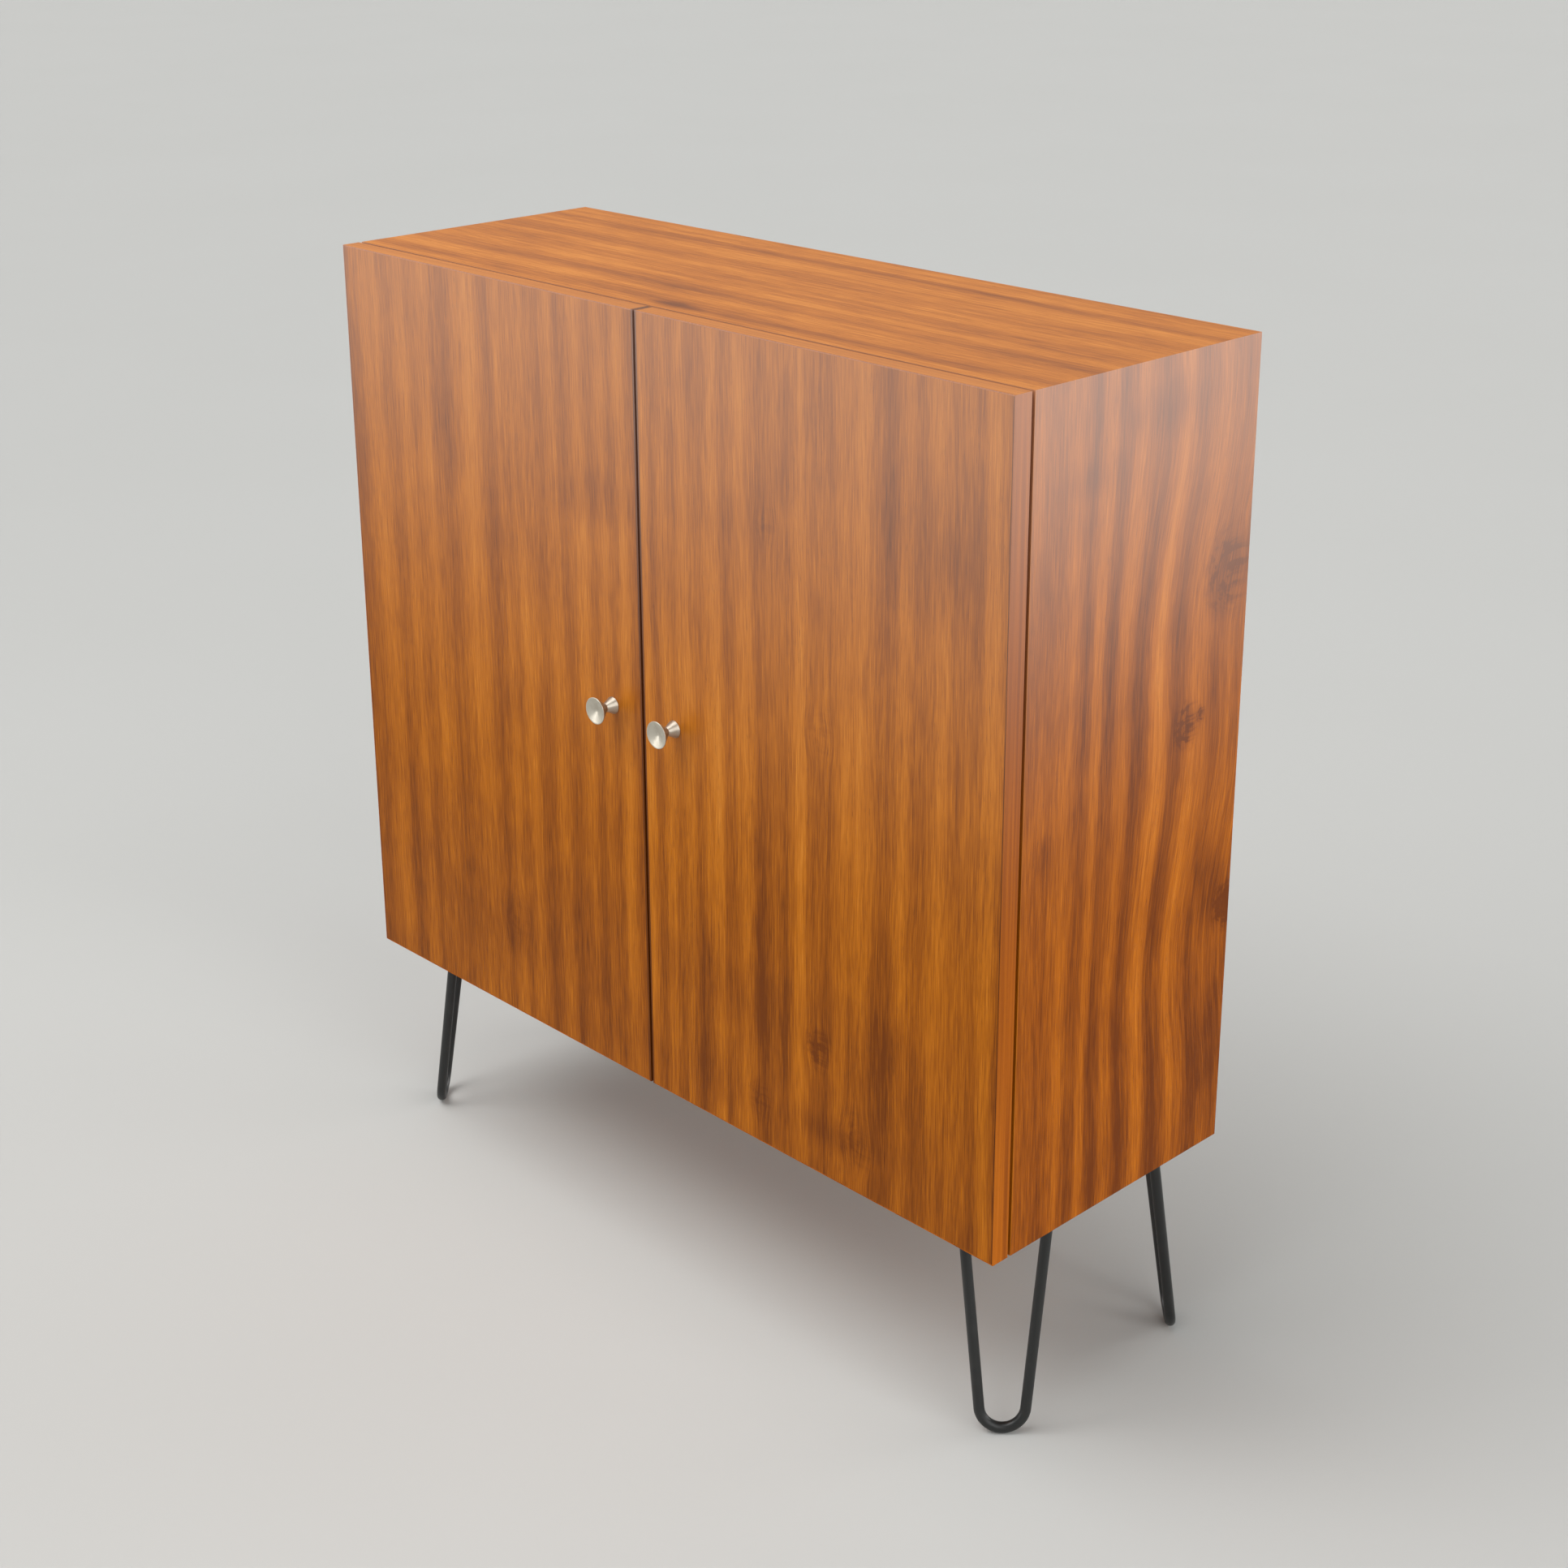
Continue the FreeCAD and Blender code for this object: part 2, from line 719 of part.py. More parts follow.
def hinge_cup(label, side, end):
    """The pressed cup let into the door, with a flange that two screws hold."""
    body = new_body(label)
    inner = size("cup_radius") - size("cup_wall")
    door = size("door_thickness")
    bowl = new_sketch(body, "XZ_Plane", -door)
    add_circle(bowl, cup_centre, zero, size("cup_radius"))
    pad(body, bowl, size("cup_depth"))
    rim = new_sketch(body, "XZ_Plane", -door)
    add_circle(rim, cup_centre, zero, size("cup_radius") + size("flange_margin"))
    pad(body, rim, size("flange_thickness"), reverse=True)
    ear = size("flange_ear_radius")
    ears = new_sketch(body, "XZ_Plane", -door)
    ear_x = cup_centre + size("flange_screw_offset")
    tip = size("flange_screw_spacing") / 2 + ear
    add_outline(ears, [(ear_x - ear, -tip), (ear_x + ear / 2, -tip), (ear_x + ear, -tip + ear / 2),
                       (ear_x + ear, tip - ear / 2), (ear_x + ear / 2, tip), (ear_x - ear, tip),
                       (ear_x - ear * 2, size("cup_radius")), (ear_x - ear * 2, -size("cup_radius"))])
    pad(body, ears, size("flange_thickness"), reverse=True)
    hollow = new_sketch(body, "XZ_Plane", -door - size("flange_thickness"))
    add_circle(hollow, cup_centre, zero, inner)
    hollow_depth = size("cup_depth") + size("flange_thickness") - size("cup_wall")
    cut(body, hollow, hollow_depth, reverse=True)
    screw_holes = new_sketch(body, "XZ_Plane", -door - size("flange_thickness"))
    for way in (-1, 1):
        add_circle(screw_holes, ear_x, size("flange_screw_spacing") / 2 * way, screw_hole_radius)
    cut(body, screw_holes, size("flange_thickness"), reverse=True)
    boss_start = size("arm_tongue_width") / 2 + size("hinge_pin_boss_gap")
    boss_length = size("hinge_pin_length") / 2 - boss_start
    boss_reach = size("hinge_pin_radius") + size("hinge_pin_boss_wall")
    for way in (-1, 1):
        boss = new_sketch(body, "XY_Plane", boss_start * way)
        add_rectangle(boss, size("pivot_from_edge") - size("hinge_pin_radius"),
                      door - size("cup_depth") + size("cup_wall") / 2,
                      size("pivot_from_edge") + boss_reach, size("pivot_from_front") + boss_reach)
        pad(body, boss, boss_length, reverse=way < 0)
    pin_bore = new_sketch(body, "XY_Plane")
    add_circle(pin_bore, size("pivot_from_edge"), size("pivot_from_front"), size("hinge_pin_radius"))
    cut(body, pin_bore, size("hinge_pin_length"), both_ways=True)
    return on_hinge(body, side, end)


def hinge_arm(label, side, end):
    """The arm: a knuckle on the pin, a cranked tongue out of the cup and a channel over the rail."""
    body = new_body(label)
    pivot_x = size("pivot_from_edge")
    pivot_y = size("pivot_from_front")
    half = size("arm_thickness") / 2
    channel_start = size("arm_channel_from_front")
    leg_end = channel_start + size("arm_wall")
    far = arm_seat + size("arm_thickness")
    tongue = new_sketch(body, "XY_Plane")
    add_outline(tongue, [(pivot_x, pivot_y - half), (far, pivot_y - half), (far, leg_end),
                         (arm_seat, leg_end), (arm_seat, pivot_y + half), (pivot_x, pivot_y + half)])
    bent = pad(body, tongue, size("arm_tongue_width"), both_ways=True)
    knuckle = new_sketch(body, "XY_Plane")
    add_circle(knuckle, pivot_x, pivot_y, size("knuckle_radius"))
    pad(body, knuckle, size("arm_tongue_width"), both_ways=True)
    wide = new_sketch(body, "XY_Plane")
    add_rectangle(wide, arm_seat, pivot_y - half, far, leg_end)
    pad(body, wide, size("arm_width"), both_ways=True)
    channel = new_sketch(body, "XY_Plane")
    top = arm_seat + size("arm_channel_height")
    add_rectangle(channel, arm_seat, channel_start, top, channel_end)
    shell = pad(body, channel, size("arm_width"), both_ways=True)

    def long_top_edge(edge):
        middle = edge.CenterOfMass
        return (abs(middle.x - top.number) < fit and abs(abs(middle.z) - half_arm) < fit
                and edge.Length > size("arm_channel_length").number / 2)

    fit = size("hinge_pin_play").number
    half_arm = size("arm_width").number / 2
    fillet(body, shell, long_top_edge, size("arm_corner"))
    hollow = new_sketch(body, "XY_Plane")
    wall = size("arm_wall")
    add_rectangle(hollow, arm_seat - size("overrun"), channel_start + wall,
                  top - wall, channel_end + size("overrun"))
    cut(body, hollow, size("rail_width") + size("rail_play"), both_ways=True)
    bore = new_sketch(body, "XY_Plane")
    add_circle(bore, pivot_x, pivot_y, size("hinge_pin_radius") + size("hinge_pin_play"))
    cut(body, bore, size("arm_tongue_width"), both_ways=True)
    slot = new_sketch(body, "YZ_Plane", top)
    radius = size("knob_bolt_radius") + size("rail_play")
    add_rectangle(slot, arm_screw_line - radius, -radius, arm_screw_line + radius, radius)
    cut(body, slot, wall + size("overrun"))
    return on_hinge(body, side, end)


def hinge_plate(label, side, end):
    """The mounting plate on the side panel: a winged base and the rail the arm slides over."""
    body = new_body(label)
    seat = new_sketch(body, "YZ_Plane", board)
    half = size("plate_half_width") - size("rail_play")
    add_rectangle(seat, plate_start, -half, plate_start + size("plate_length"), half)
    pad(body, seat, size("plate_thickness"))
    wings = new_sketch(body, "YZ_Plane", board)
    wing = size("plate_wing_radius")
    tip = size("plate_screw_spacing") / 2 + wing
    line = plate_screw_line
    add_outline(wings, [
        (line - wing, -half), (line - wing, -tip + wing / 2), (line - wing / 2, -tip),
        (line + wing / 2, -tip), (line + wing, -tip + wing / 2), (line + wing, -half),
        (line + wing, half), (line + wing, tip - wing / 2), (line + wing / 2, tip),
        (line - wing / 2, tip), (line - wing, tip - wing / 2), (line - wing, half),
    ])
    pad(body, wings, size("plate_thickness"))
    rail = new_sketch(body, "YZ_Plane", board)
    rail_start = plate_start + size("overrun")
    add_rectangle(rail, rail_start, -size("rail_width") / 2,
                  channel_end - size("arm_wall"), size("rail_width") / 2)
    pad(body, rail, size("plate_thickness") + size("rail_height"))
    holes = new_sketch(body, "YZ_Plane", board)
    for way in (-1, 1):
        add_circle(holes, line, size("plate_screw_spacing") / 2 * way, screw_hole_radius)
    cut(body, holes, size("plate_thickness") + size("overrun"), reverse=True)
    screw_hole = new_sketch(body, "YZ_Plane", board + size("plate_thickness") + size("rail_height"))
    add_circle(screw_hole, arm_screw_line, zero, knob_hole_radius)
    cut(body, screw_hole, size("rail_height"))
    return on_hinge(body, side, end)


def hinge_pins(label, side):
    """The two pivot pins of a door, each held in the walls of its cup."""
    pins = []
    for end in (-1, 1):
        x = (half_width - size("pivot_from_edge")) * side
        level = carcass_middle + hinge_level * end - size("hinge_pin_length") / 2
        pin = cylinder("hinge_pin", size("hinge_pin_radius"), size("hinge_pin_length"))
        pins.append(place(pin, x, door_front + size("pivot_from_front"), level))
    return group(label, pins)


def hinge_plate_screws():
    """Two screws through the wings of each mounting plate into the side panel."""
    spots = []
    for side, way in ((-1, "left"), (1, "right")):
        face = (half_width - arm_seat) * side
        for end in (-1, 1):
            for step in (-1, 1):
                level = carcass_middle + hinge_level * end + size("plate_screw_spacing") / 2 * step
                spots.append(((face, door_front + plate_screw_line, level), way))
    return wood_screws("hinge_plate_screws", spots)


def hinge_arm_screws():
    """One machine screw through each arm's slot into the rail."""
    solids = []
    length = size("rail_height") - size("screw_head")
    for side, way in ((-1, "left"), (1, "right")):
        face = (half_width - arm_seat - size("arm_channel_height")) * side
        for end in (-1, 1):
            level = carcass_middle + hinge_level * end
            spot = (face, door_front + arm_screw_line, level)
            solids += screw("arm_screw", spot, way, size("knob_bolt_radius"), length,
                            size("screw_head_radius"), size("screw_head"))
    return group("hinge_arm_screws", solids)


def catch_screw_depth():
    """How far the catch screws stand behind the carcass front."""
    return size("catch_setback") + size("catch_depth") / 2


def catch_housing(label, side):
    """The moulded case of a magnetic catch under the top panel, open at the front."""
    body = new_body(label)
    half = size("catch_length") / 2
    case = new_sketch(body, "XY_Plane")
    add_outline(case, [(-half, size("catch_setback")), (half, size("catch_setback")),
                       (half, size("catch_setback") + size("catch_depth") / 2),
                       (half - size("catch_depth") / 4, size("catch_setback") + size("catch_depth")),
                       (size("catch_depth") / 4 - half, size("catch_setback") + size("catch_depth")),
                       (-half, size("catch_setback") + size("catch_depth") / 2)])
    pad(body, case, size("catch_height"), reverse=True)
    pocket = new_sketch(body, "XZ_Plane", -size("catch_setback"))
    reach = size("magnet_length") / 2 + size("magnet_play")
    add_rectangle(pocket, -reach, size("catch_wall") - size("catch_height"),
                  reach, -size("catch_wall"))
    cut(body, pocket, size("magnet_depth") + size("magnet_play"))
    ledges = new_sketch(body, "XY_Plane", -size("catch_height"))
    for way in (-1, 1):
        inner = reach + size("catch_wall")
        low = inner if way > 0 else -half - size("overrun")
        high = half + size("overrun") if way > 0 else -inner
        add_rectangle(ledges, low, zero, high,
                      size("catch_setback") + size("catch_depth") + size("overrun"))
    cut(body, ledges, size("catch_height") - size("catch_wall") * 2, reverse=True)
    holes = new_sketch(body, "XY_Plane", -size("catch_height"))
    for way in (-1, 1):
        add_circle(holes, size("catch_screw_spacing") / 2 * way, catch_screw_depth(), screw_hole_radius)
    cut(body, holes, size("catch_height"), reverse=True)
    x = size("knob_from_centre") * side
    return place(body, x, carcass_front, carcass_top - board)


def catch_magnet(label, side):
    """A magnet between two steel pole plates that reach forward almost to the strike."""
    length = size("magnet_length")
    floor = carcass_top - board - size("catch_height") + size("catch_wall")
    room = size("catch_height") - size("catch_wall") * 2
    x = size("knob_from_centre") * side - length / 2
    back = carcass_front + size("catch_setback") + size("magnet_depth")
    face = door_back + size("strike_thickness") + size("strike_clearance")
    recess = size("pole_thickness")
    magnet = block("magnet", length, back - face - recess, room)
    place(magnet, x, face + recess, floor)
    pieces = [magnet]
    for z in (floor, floor + room - size("pole_thickness")):
        pole = block("pole_plate", length, back - face, size("pole_thickness"))
        pieces.append(place(pole, x, face, z))
    return group(label, pieces)


def catch_screws():
    """Two screws through each catch's ledges into the top panel."""
    spots = []
    level = carcass_top - board - size("catch_wall") * 2
    for side in (-1, 1):
        for way in (-1, 1):
            x = size("knob_from_centre") * side + size("catch_screw_spacing") / 2 * way
            spots.append(((x, carcass_front + catch_screw_depth(), level), "up"))
    return wood_screws("catch_screws", spots)


def strike_level():
    return carcass_top - board - catch_level


def strike(label, side):
    """The steel plate on the inside of a door that the magnet holds."""
    body = new_body(label)
    sketch = new_sketch(body, "XZ_Plane")
    half = size("catch_length") / 2
    rise = size("strike_height") / 2
    bevel = size("strike_height") / 4
    add_outline(sketch, [(-half, -rise + bevel), (-half + bevel, -rise), (half - bevel, -rise),
                         (half, -rise + bevel), (half, rise - bevel), (half - bevel, rise),
                         (-half + bevel, rise), (-half, rise - bevel)])
    pad(body, sketch, size("strike_thickness"), reverse=True)
    holes = new_sketch(body, "XZ_Plane")
    for way in (-1, 1):
        add_circle(holes, size("catch_screw_spacing") / 2 * way, zero, screw_hole_radius)
    cut(body, holes, size("strike_thickness"))
    return place(body, size("knob_from_centre") * side, door_back, strike_level())


def door_screws(label, side):
    """The screws on a door's inside: two for each hinge cup and two for the strike."""
    spots = []
    for end in (-1, 1):
        for way in (-1, 1):
            x = (half_width - cup_centre - size("flange_screw_offset")) * side
            level = carcass_middle + hinge_level * end + size("flange_screw_spacing") / 2 * way
            spots.append(((x, door_back + size("flange_thickness"), level), "forward"))
    for way in (-1, 1):
        x = size("knob_from_centre") * side + size("catch_screw_spacing") / 2 * way
        spots.append(((x, door_back + size("strike_thickness"), strike_level()), "forward"))
    return wood_screws(label, spots)


# The four corners, as the signs of X and Y; turn brings the front left corner to each
leg_corners = {
    "front_left": (-1, -1, 0),
    "front_right": (1, -1, 90),
    "back_right": (1, 1, 180),
    "back_left": (-1, 1, 270),
}


def corner_spot(side, end, inset):
    """A point inside a bottom corner of the carcass, the same inset from both edges."""
    x = (half_width - inset) * side
    y = (carcass_front + carcass_back) / 2 + (size("carcass_depth") / 2 - inset) * end
    return x, y


def leg_plate_holes():
    """Screw places on a leg plate, from the carcass corner along its two edges."""
    near = size("leg_plate_inset") + size("leg_plate_hole_inset") - size("screw_play")
    far = size("leg_plate_inset") + size("leg_plate_far_hole")
    middle = size("leg_plate_inset") + size("leg_plate_mid_hole")
    edge = size("leg_plate_inset") + size("leg_plate_tip") / 2
    return [(near, near), (far, edge), (edge, far), (middle, middle)]


def leg_screw_spots(side):
    """All leg screw places on one half of the bottom."""
    spots = []
    for corner_side, end, turn in leg_corners.values():
        if corner_side != side:
            continue
        for along, across in leg_plate_holes():
            if turn in (90, 270):
                along, across = across, along
            x = (half_width - along) * side
            y = (carcass_front + carcass_back) / 2 + (size("carcass_depth") / 2 - across) * end
            spots.append((x, y))
    return spots


def leg_plate(label, side, end, turn):
    """A steel plate under the corner: a right triangle with its two sharp tips cut off."""
    body = new_body(label)
    sketch = new_sketch(body, "XY_Plane")
    low = size("leg_plate_inset")
    high = low + size("leg_plate_length")
    tip = low + size("leg_plate_tip")
    add_outline(sketch, [(low, low), (high, low), (high, tip), (tip, high), (low, high)])
    flat = pad(body, sketch, size("leg_plate_thickness"), reverse=True)

    def upright(edge):
        return abs(edge.tangentAt(edge.FirstParameter).z) > diagonal_share

    fillet(body, flat, upright, size("leg_plate_corner"))
    holes = new_sketch(body, "XY_Plane")
    for x, y in leg_plate_holes():
        add_circle(holes, x, y, leg_screw_hole_radius)
    cut(body, holes, size("leg_plate_thickness"))
    x, y = corner_spot(side, end, zero)
    return place(body, x, y, carcass_bottom, (0, 0, 1), turn)


def leg_rod(label, side, end, turn):
    """One round rod bent into a U that leans outwards, its ends cut flush under the plate.

    Half of the U is swept from the bottom of its bend to its end, then mirrored.
    """
    body = new_body(label)
    bend = size("leg_bend_radius")
    radius = size("rod_radius")
    spread = size("leg_spread") / 2
    fall = size("leg_height") - size("leg_plate_thickness") - radius
    slant = fall / cosine(size("leg_lean"))
    path = body.newObject("Sketcher::SketchObject", f"{label}_path")
    path.AttachmentSupport = [(datum(body, "YZ_Plane"), "")]
    path.MapMode = "FlatFace"
    lean = FreeCAD.Rotation(Vector(-1, 0, 0), size("leg_lean").number)
    path.AttachmentOffset = FreeCAD.Placement(Vector(0, 0, 0), lean)
    path.setExpression("AttachmentOffset.Rotation.Angle", "sizes.leg_lean")
    centre = Vector(0, bend.number - slant.number, 0)
    toward = math.atan2(spread.number, slant.number - bend.number)
    open_angle = toward - math.asin(bend.number / math.hypot(spread.number, slant.number - bend.number))
    tangent_spot = centre + Vector(math.cos(open_angle), -math.sin(open_angle), 0) * bend.number
    over = size("overrun") * 2
    rise = Vector(math.sin(open_angle), math.cos(open_angle), 0)
    end_spot = Vector(spread.number, 0, 0) + rise * over.number
    arc = Part.ArcOfCircle(Part.Circle(centre, Vector(0, 0, 1), bend.number), -math.pi / 2, -open_angle)
    path.addGeometry([arc, Part.LineSegment(tangent_spot, end_spot)], False)
    path.addConstraint(Sketcher.Constraint("Tangent", 0, 2, 1, 1))
    hold(path, 0, 3, zero, bend - slant)
    hold(path, 0, 1, zero, -slant)
    mark = path.addGeometry(Part.Point(Vector(spread.number, 0, 0)), True)
    hold(path, mark, 1, spread, zero)
    path.addConstraint(Sketcher.Constraint("PointOnObject", mark, 1, 1))
    length = path.addConstraint(Sketcher.Constraint("Distance", mark, 1, 1, 2, over.number))
    bind(path, f"Constraints[{length}]", over)
    section = new_sketch(body, "XZ_Plane")
    lean_text = size("leg_lean").text
    foot_x = slant * Size(math.sin(math.radians(size("leg_lean").number)), f"sin({lean_text})")
    add_circle(section, foot_x, -fall, radius)
    half = body.newObject("PartDesign::AdditivePipe", f"{label}_half")
    half.Profile = section
    half.Spine = (path, ["Edge1", "Edge2"])
    half.Transition = "Round corner"
    doc.recompute()
    mirror_about(body, half, "XZ_Plane")
    ends = new_sketch(body, "XY_Plane")
    reach = size("leg_spread")
    add_rectangle(ends, -reach, -reach, reach, reach)
    cut(body, ends, over * 2, reverse=True)
    x, y = corner_spot(side, end, size("leg_inset"))
    level = carcass_bottom - size("leg_plate_thickness")
    return place(body, x, y, level, (0, 0, 1), turn + 225)


def leg_screws():
    """Four screws through each leg plate up into the bottom panel."""
    solids = []
    level = carcass_bottom - size("leg_plate_thickness")
    for side in (-1, 1):
        for x, y in leg_screw_spots(side):
            solids += screw("leg_screw", (x, y, level), "up", size("leg_screw_radius"),
                            size("leg_screw_length"), size("leg_screw_head_radius"),
                            size("leg_screw_head"))
    return group("leg_screws", solids)


def carcass():
    pieces = [top_panel(), bottom_panel(), back_panel(), corner_splines(), back_screws()]
    pieces += [level_strip("top_edge_strip", carcass_top, 0)]
    pieces += [level_strip("bottom_edge_strip", carcass_bottom, 180)]
    for name, side in (("left", -1), ("right", 1)):
        pieces += [side_panel(f"{name}_side_panel", side), upright_strip(f"{name}_edge_strip", side)]
    for name, end in (("lower", -1), ("upper", 1)):
        pieces += [shelf(f"{name}_shelf", end), shelf_strip(f"{name}_shelf_strip", end)]
        pieces += [shelf_pins(f"{name}_shelf_pins", end)]
    return pieces


def doors():
    pieces = [hinge_plate_screws(), hinge_arm_screws(), catch_screws()]
    for name, side in (("left", -1), ("right", 1)):
        pieces += [door_panel(f"{name}_door", side), door_strips(f"{name}_door_strips", side)]
        pieces += [knob(f"{name}_knob", side), knob_screw(f"{name}_knob_screw", side)]
        pieces += [hinge_pins(f"{name}_hinge_pins", side), door_screws(f"{name}_door_screws", side)]
        pieces += [catch_housing(f"{name}_catch_housing", side)]
        pieces += [catch_magnet(f"{name}_catch_magnet", side), strike(f"{name}_strike", side)]
        for level, end in (("lower", -1), ("upper", 1)):
            pieces += [hinge_cup(f"{name}_{level}_hinge_cup", side, end)]
            pieces += [hinge_arm(f"{name}_{level}_hinge_arm", side, end)]
            pieces += [hinge_plate(f"{name}_{level}_hinge_plate", side, end)]
    return pieces


def legs():
    pieces = [leg_screws()]
    for name, (side, end, turn) in leg_corners.items():
        pieces += [leg_rod(f"{name}_leg", side, end, turn)]
        pieces += [leg_plate(f"{name}_leg_plate", side, end, turn)]
    return pieces


subparts = carcass() + doors() + legs()
doc.recompute()

failed = [item.Name for item in doc.Objects if {"Invalid", "Error"} & set(item.State)]
failed += [item.Label for item in subparts if item.Shape.isNull() or not item.Shape.isValid()]
if failed:
    raise RuntimeError(f"not built: {failed}")

for item in subparts:
    item.Shape.exportStep(f"parts/{item.Label}.step")
whole = Part.makeCompound([item.Shape for item in subparts]).BoundBox
print(len(subparts), "sub-parts,", sum(len(item.Shape.Solids) for item in subparts), "solids")
print("low", whole.XMin, whole.YMin, whole.ZMin, "high", whole.XMax, whole.YMax, whole.ZMax)
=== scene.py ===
# Two-door cabinet on hairpin legs: finishes, small details, light and camera over its CAD frame.
# Metres, with X to the right along the front, Y to the back and Z up from the floor.
import math
import bpy
import numpy as np
from mathutils import Matrix, Vector


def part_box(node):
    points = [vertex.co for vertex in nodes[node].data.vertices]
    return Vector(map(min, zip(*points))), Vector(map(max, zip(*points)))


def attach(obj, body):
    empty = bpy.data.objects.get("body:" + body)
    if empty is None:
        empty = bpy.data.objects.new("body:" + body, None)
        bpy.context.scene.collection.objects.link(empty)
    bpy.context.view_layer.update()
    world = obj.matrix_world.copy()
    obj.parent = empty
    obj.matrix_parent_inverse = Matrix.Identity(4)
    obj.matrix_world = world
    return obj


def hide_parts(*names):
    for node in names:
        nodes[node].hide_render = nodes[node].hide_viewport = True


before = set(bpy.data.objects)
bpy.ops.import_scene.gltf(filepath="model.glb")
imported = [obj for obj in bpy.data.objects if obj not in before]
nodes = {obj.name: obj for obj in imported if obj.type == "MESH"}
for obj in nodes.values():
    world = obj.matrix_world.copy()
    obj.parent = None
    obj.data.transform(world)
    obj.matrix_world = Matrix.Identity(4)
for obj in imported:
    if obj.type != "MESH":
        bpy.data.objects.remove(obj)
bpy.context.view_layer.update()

scene = bpy.context.scene
print("frame loaded with", len(nodes), "nodes")


class Wire:
    # A value that runs through a material. Sums on it add Math nodes.
    def __init__(self, shade, socket):
        self.shade = shade
        self.socket = socket

    def join(self, operation, first, second=0.0):
        return self.shade.node("ShaderNodeMath", {"operation": operation}, {0: first, 1: second})

    def __add__(self, other):
        return self.join("ADD", self, other)

    def __radd__(self, other):
        return self.join("ADD", other, self)

    def __sub__(self, other):
        return self.join("SUBTRACT", self, other)

    def __rsub__(self, other):
        return self.join("SUBTRACT", other, self)

    def __mul__(self, other):
        return self.join("MULTIPLY", self, other)

    def __rmul__(self, other):
        return self.join("MULTIPLY", other, self)

    def __truediv__(self, other):
        return self.join("DIVIDE", self, other)

    def __abs__(self):
        return self.join("ABSOLUTE", self)

    def __pow__(self, power):
        return self.join("POWER", self, power)

    def sine(self):
        return self.join("SINE", self)

    def above(self, limit):
        return self.join("GREATER_THAN", self, limit)

    def fade(self, start, end):
        # 0 at start and 1 at end, eased at both
        return self.shade.node("ShaderNodeMapRange", {"interpolation_type": "SMOOTHSTEP"},
                               {"Value": self, "From Min": start, "From Max": end})


class Shade:
    # One material under construction
    def __init__(self, name):
        self.material = bpy.data.materials.new(name)
        self.material.use_nodes = True
        self.tree = self.material.node_tree
        self.tree.nodes.clear()
        place = self.node("ShaderNodeTexCoord", out="Object")
        self.x, self.y, self.z = self.split(place)

    def node(self, kind, settings=None, inputs=None, out=0):
        made = self.tree.nodes.new(kind)
        for key, value in (settings or {}).items():
            if key == "stops":
                self.setStops(made.color_ramp, value)
            elif key == "interpolation":
                made.color_ramp.interpolation = value
            else:
                setattr(made, key, value)
        for key, value in (inputs or {}).items():
            if isinstance(value, Wire):
                self.tree.links.new(value.socket, made.inputs[key])
            else:
                made.inputs[key].default_value = value
        return Wire(self, made.outputs[out])

    def setStops(self, ramp, stops):
        while len(ramp.elements) < len(stops):
            ramp.elements.new(1.0)
        for element, (spot, colour) in zip(ramp.elements, stops):
            element.position = spot
            element.color = colour

    def split(self, vector):
        first = self.node("ShaderNodeSeparateXYZ", inputs={0: vector})
        outputs = first.socket.node.outputs
        return [Wire(self, outputs[number]) for number in range(3)]

    def vector(self, x, y, z):
        return self.node("ShaderNodeCombineXYZ", inputs={0: x, 1: y, 2: z})

    def noise(self, x, y, z, detail=2.0, rough=0.5):
        # Values near 0.5, between about 0.2 and 0.8
        return self.node("ShaderNodeTexNoise", inputs={
            "Vector": self.vector(x, y, z), "Scale": 1.0, "Detail": detail, "Roughness": rough})

    def mix(self, share, first, second, blend="MIX"):
        return self.node("ShaderNodeMix", {"data_type": "RGBA", "blend_type": blend},
                         {0: share, 6: first, 7: second}, out=2)

    def ramp(self, value, stops, fit="LINEAR"):
        return self.node("ShaderNodeValToRGB", {"stops": stops, "interpolation": fit}, {0: value})

    def bump(self, height, distance, strength=1.0):
        return self.node("ShaderNodeBump", inputs={
            "Height": height, "Distance": distance, "Strength": strength})

    def finish(self, **inputs):
        named = {key.replace("_", " "): value for key, value in inputs.items()}
        skin = self.node("ShaderNodeBsdfPrincipled", inputs=named)
        ending = self.tree.nodes.new("ShaderNodeOutputMaterial")
        self.tree.links.new(skin.socket, ending.inputs[0])
        return self.material


def colour(red, green, blue):
    # A colour as it looks on a screen, 0 to 255, turned to the linear values that a shader takes
    def linear(value):
        share = value / 255
        return share / 12.92 if share < 0.04045 else ((share + 0.055) / 1.055) ** 2.4
    return (linear(red), linear(green), linear(blue), 1.0)


# Wood

carcassFoot = 0.205  # height of the carcass's lower edge over the floor
grainSlant = 0.7  # how far the grain moves sideways for each step below the face
glueWidth = 0.0009

# The veneer's own tones, light to dark, before lacquer and light. "line" is for pores and glue. The
# last, pale one is no tone of the wood: it is a painted sheen.
veneerTones = {
    "pale": colour(206, 130, 40),
    "golden": colour(182, 106, 18),
    "brown": colour(147, 80, 11),
    "dark": colour(108, 54, 8),
    "line": colour(66, 30, 10),
    "paintedSheen": colour(232, 204, 190),
}
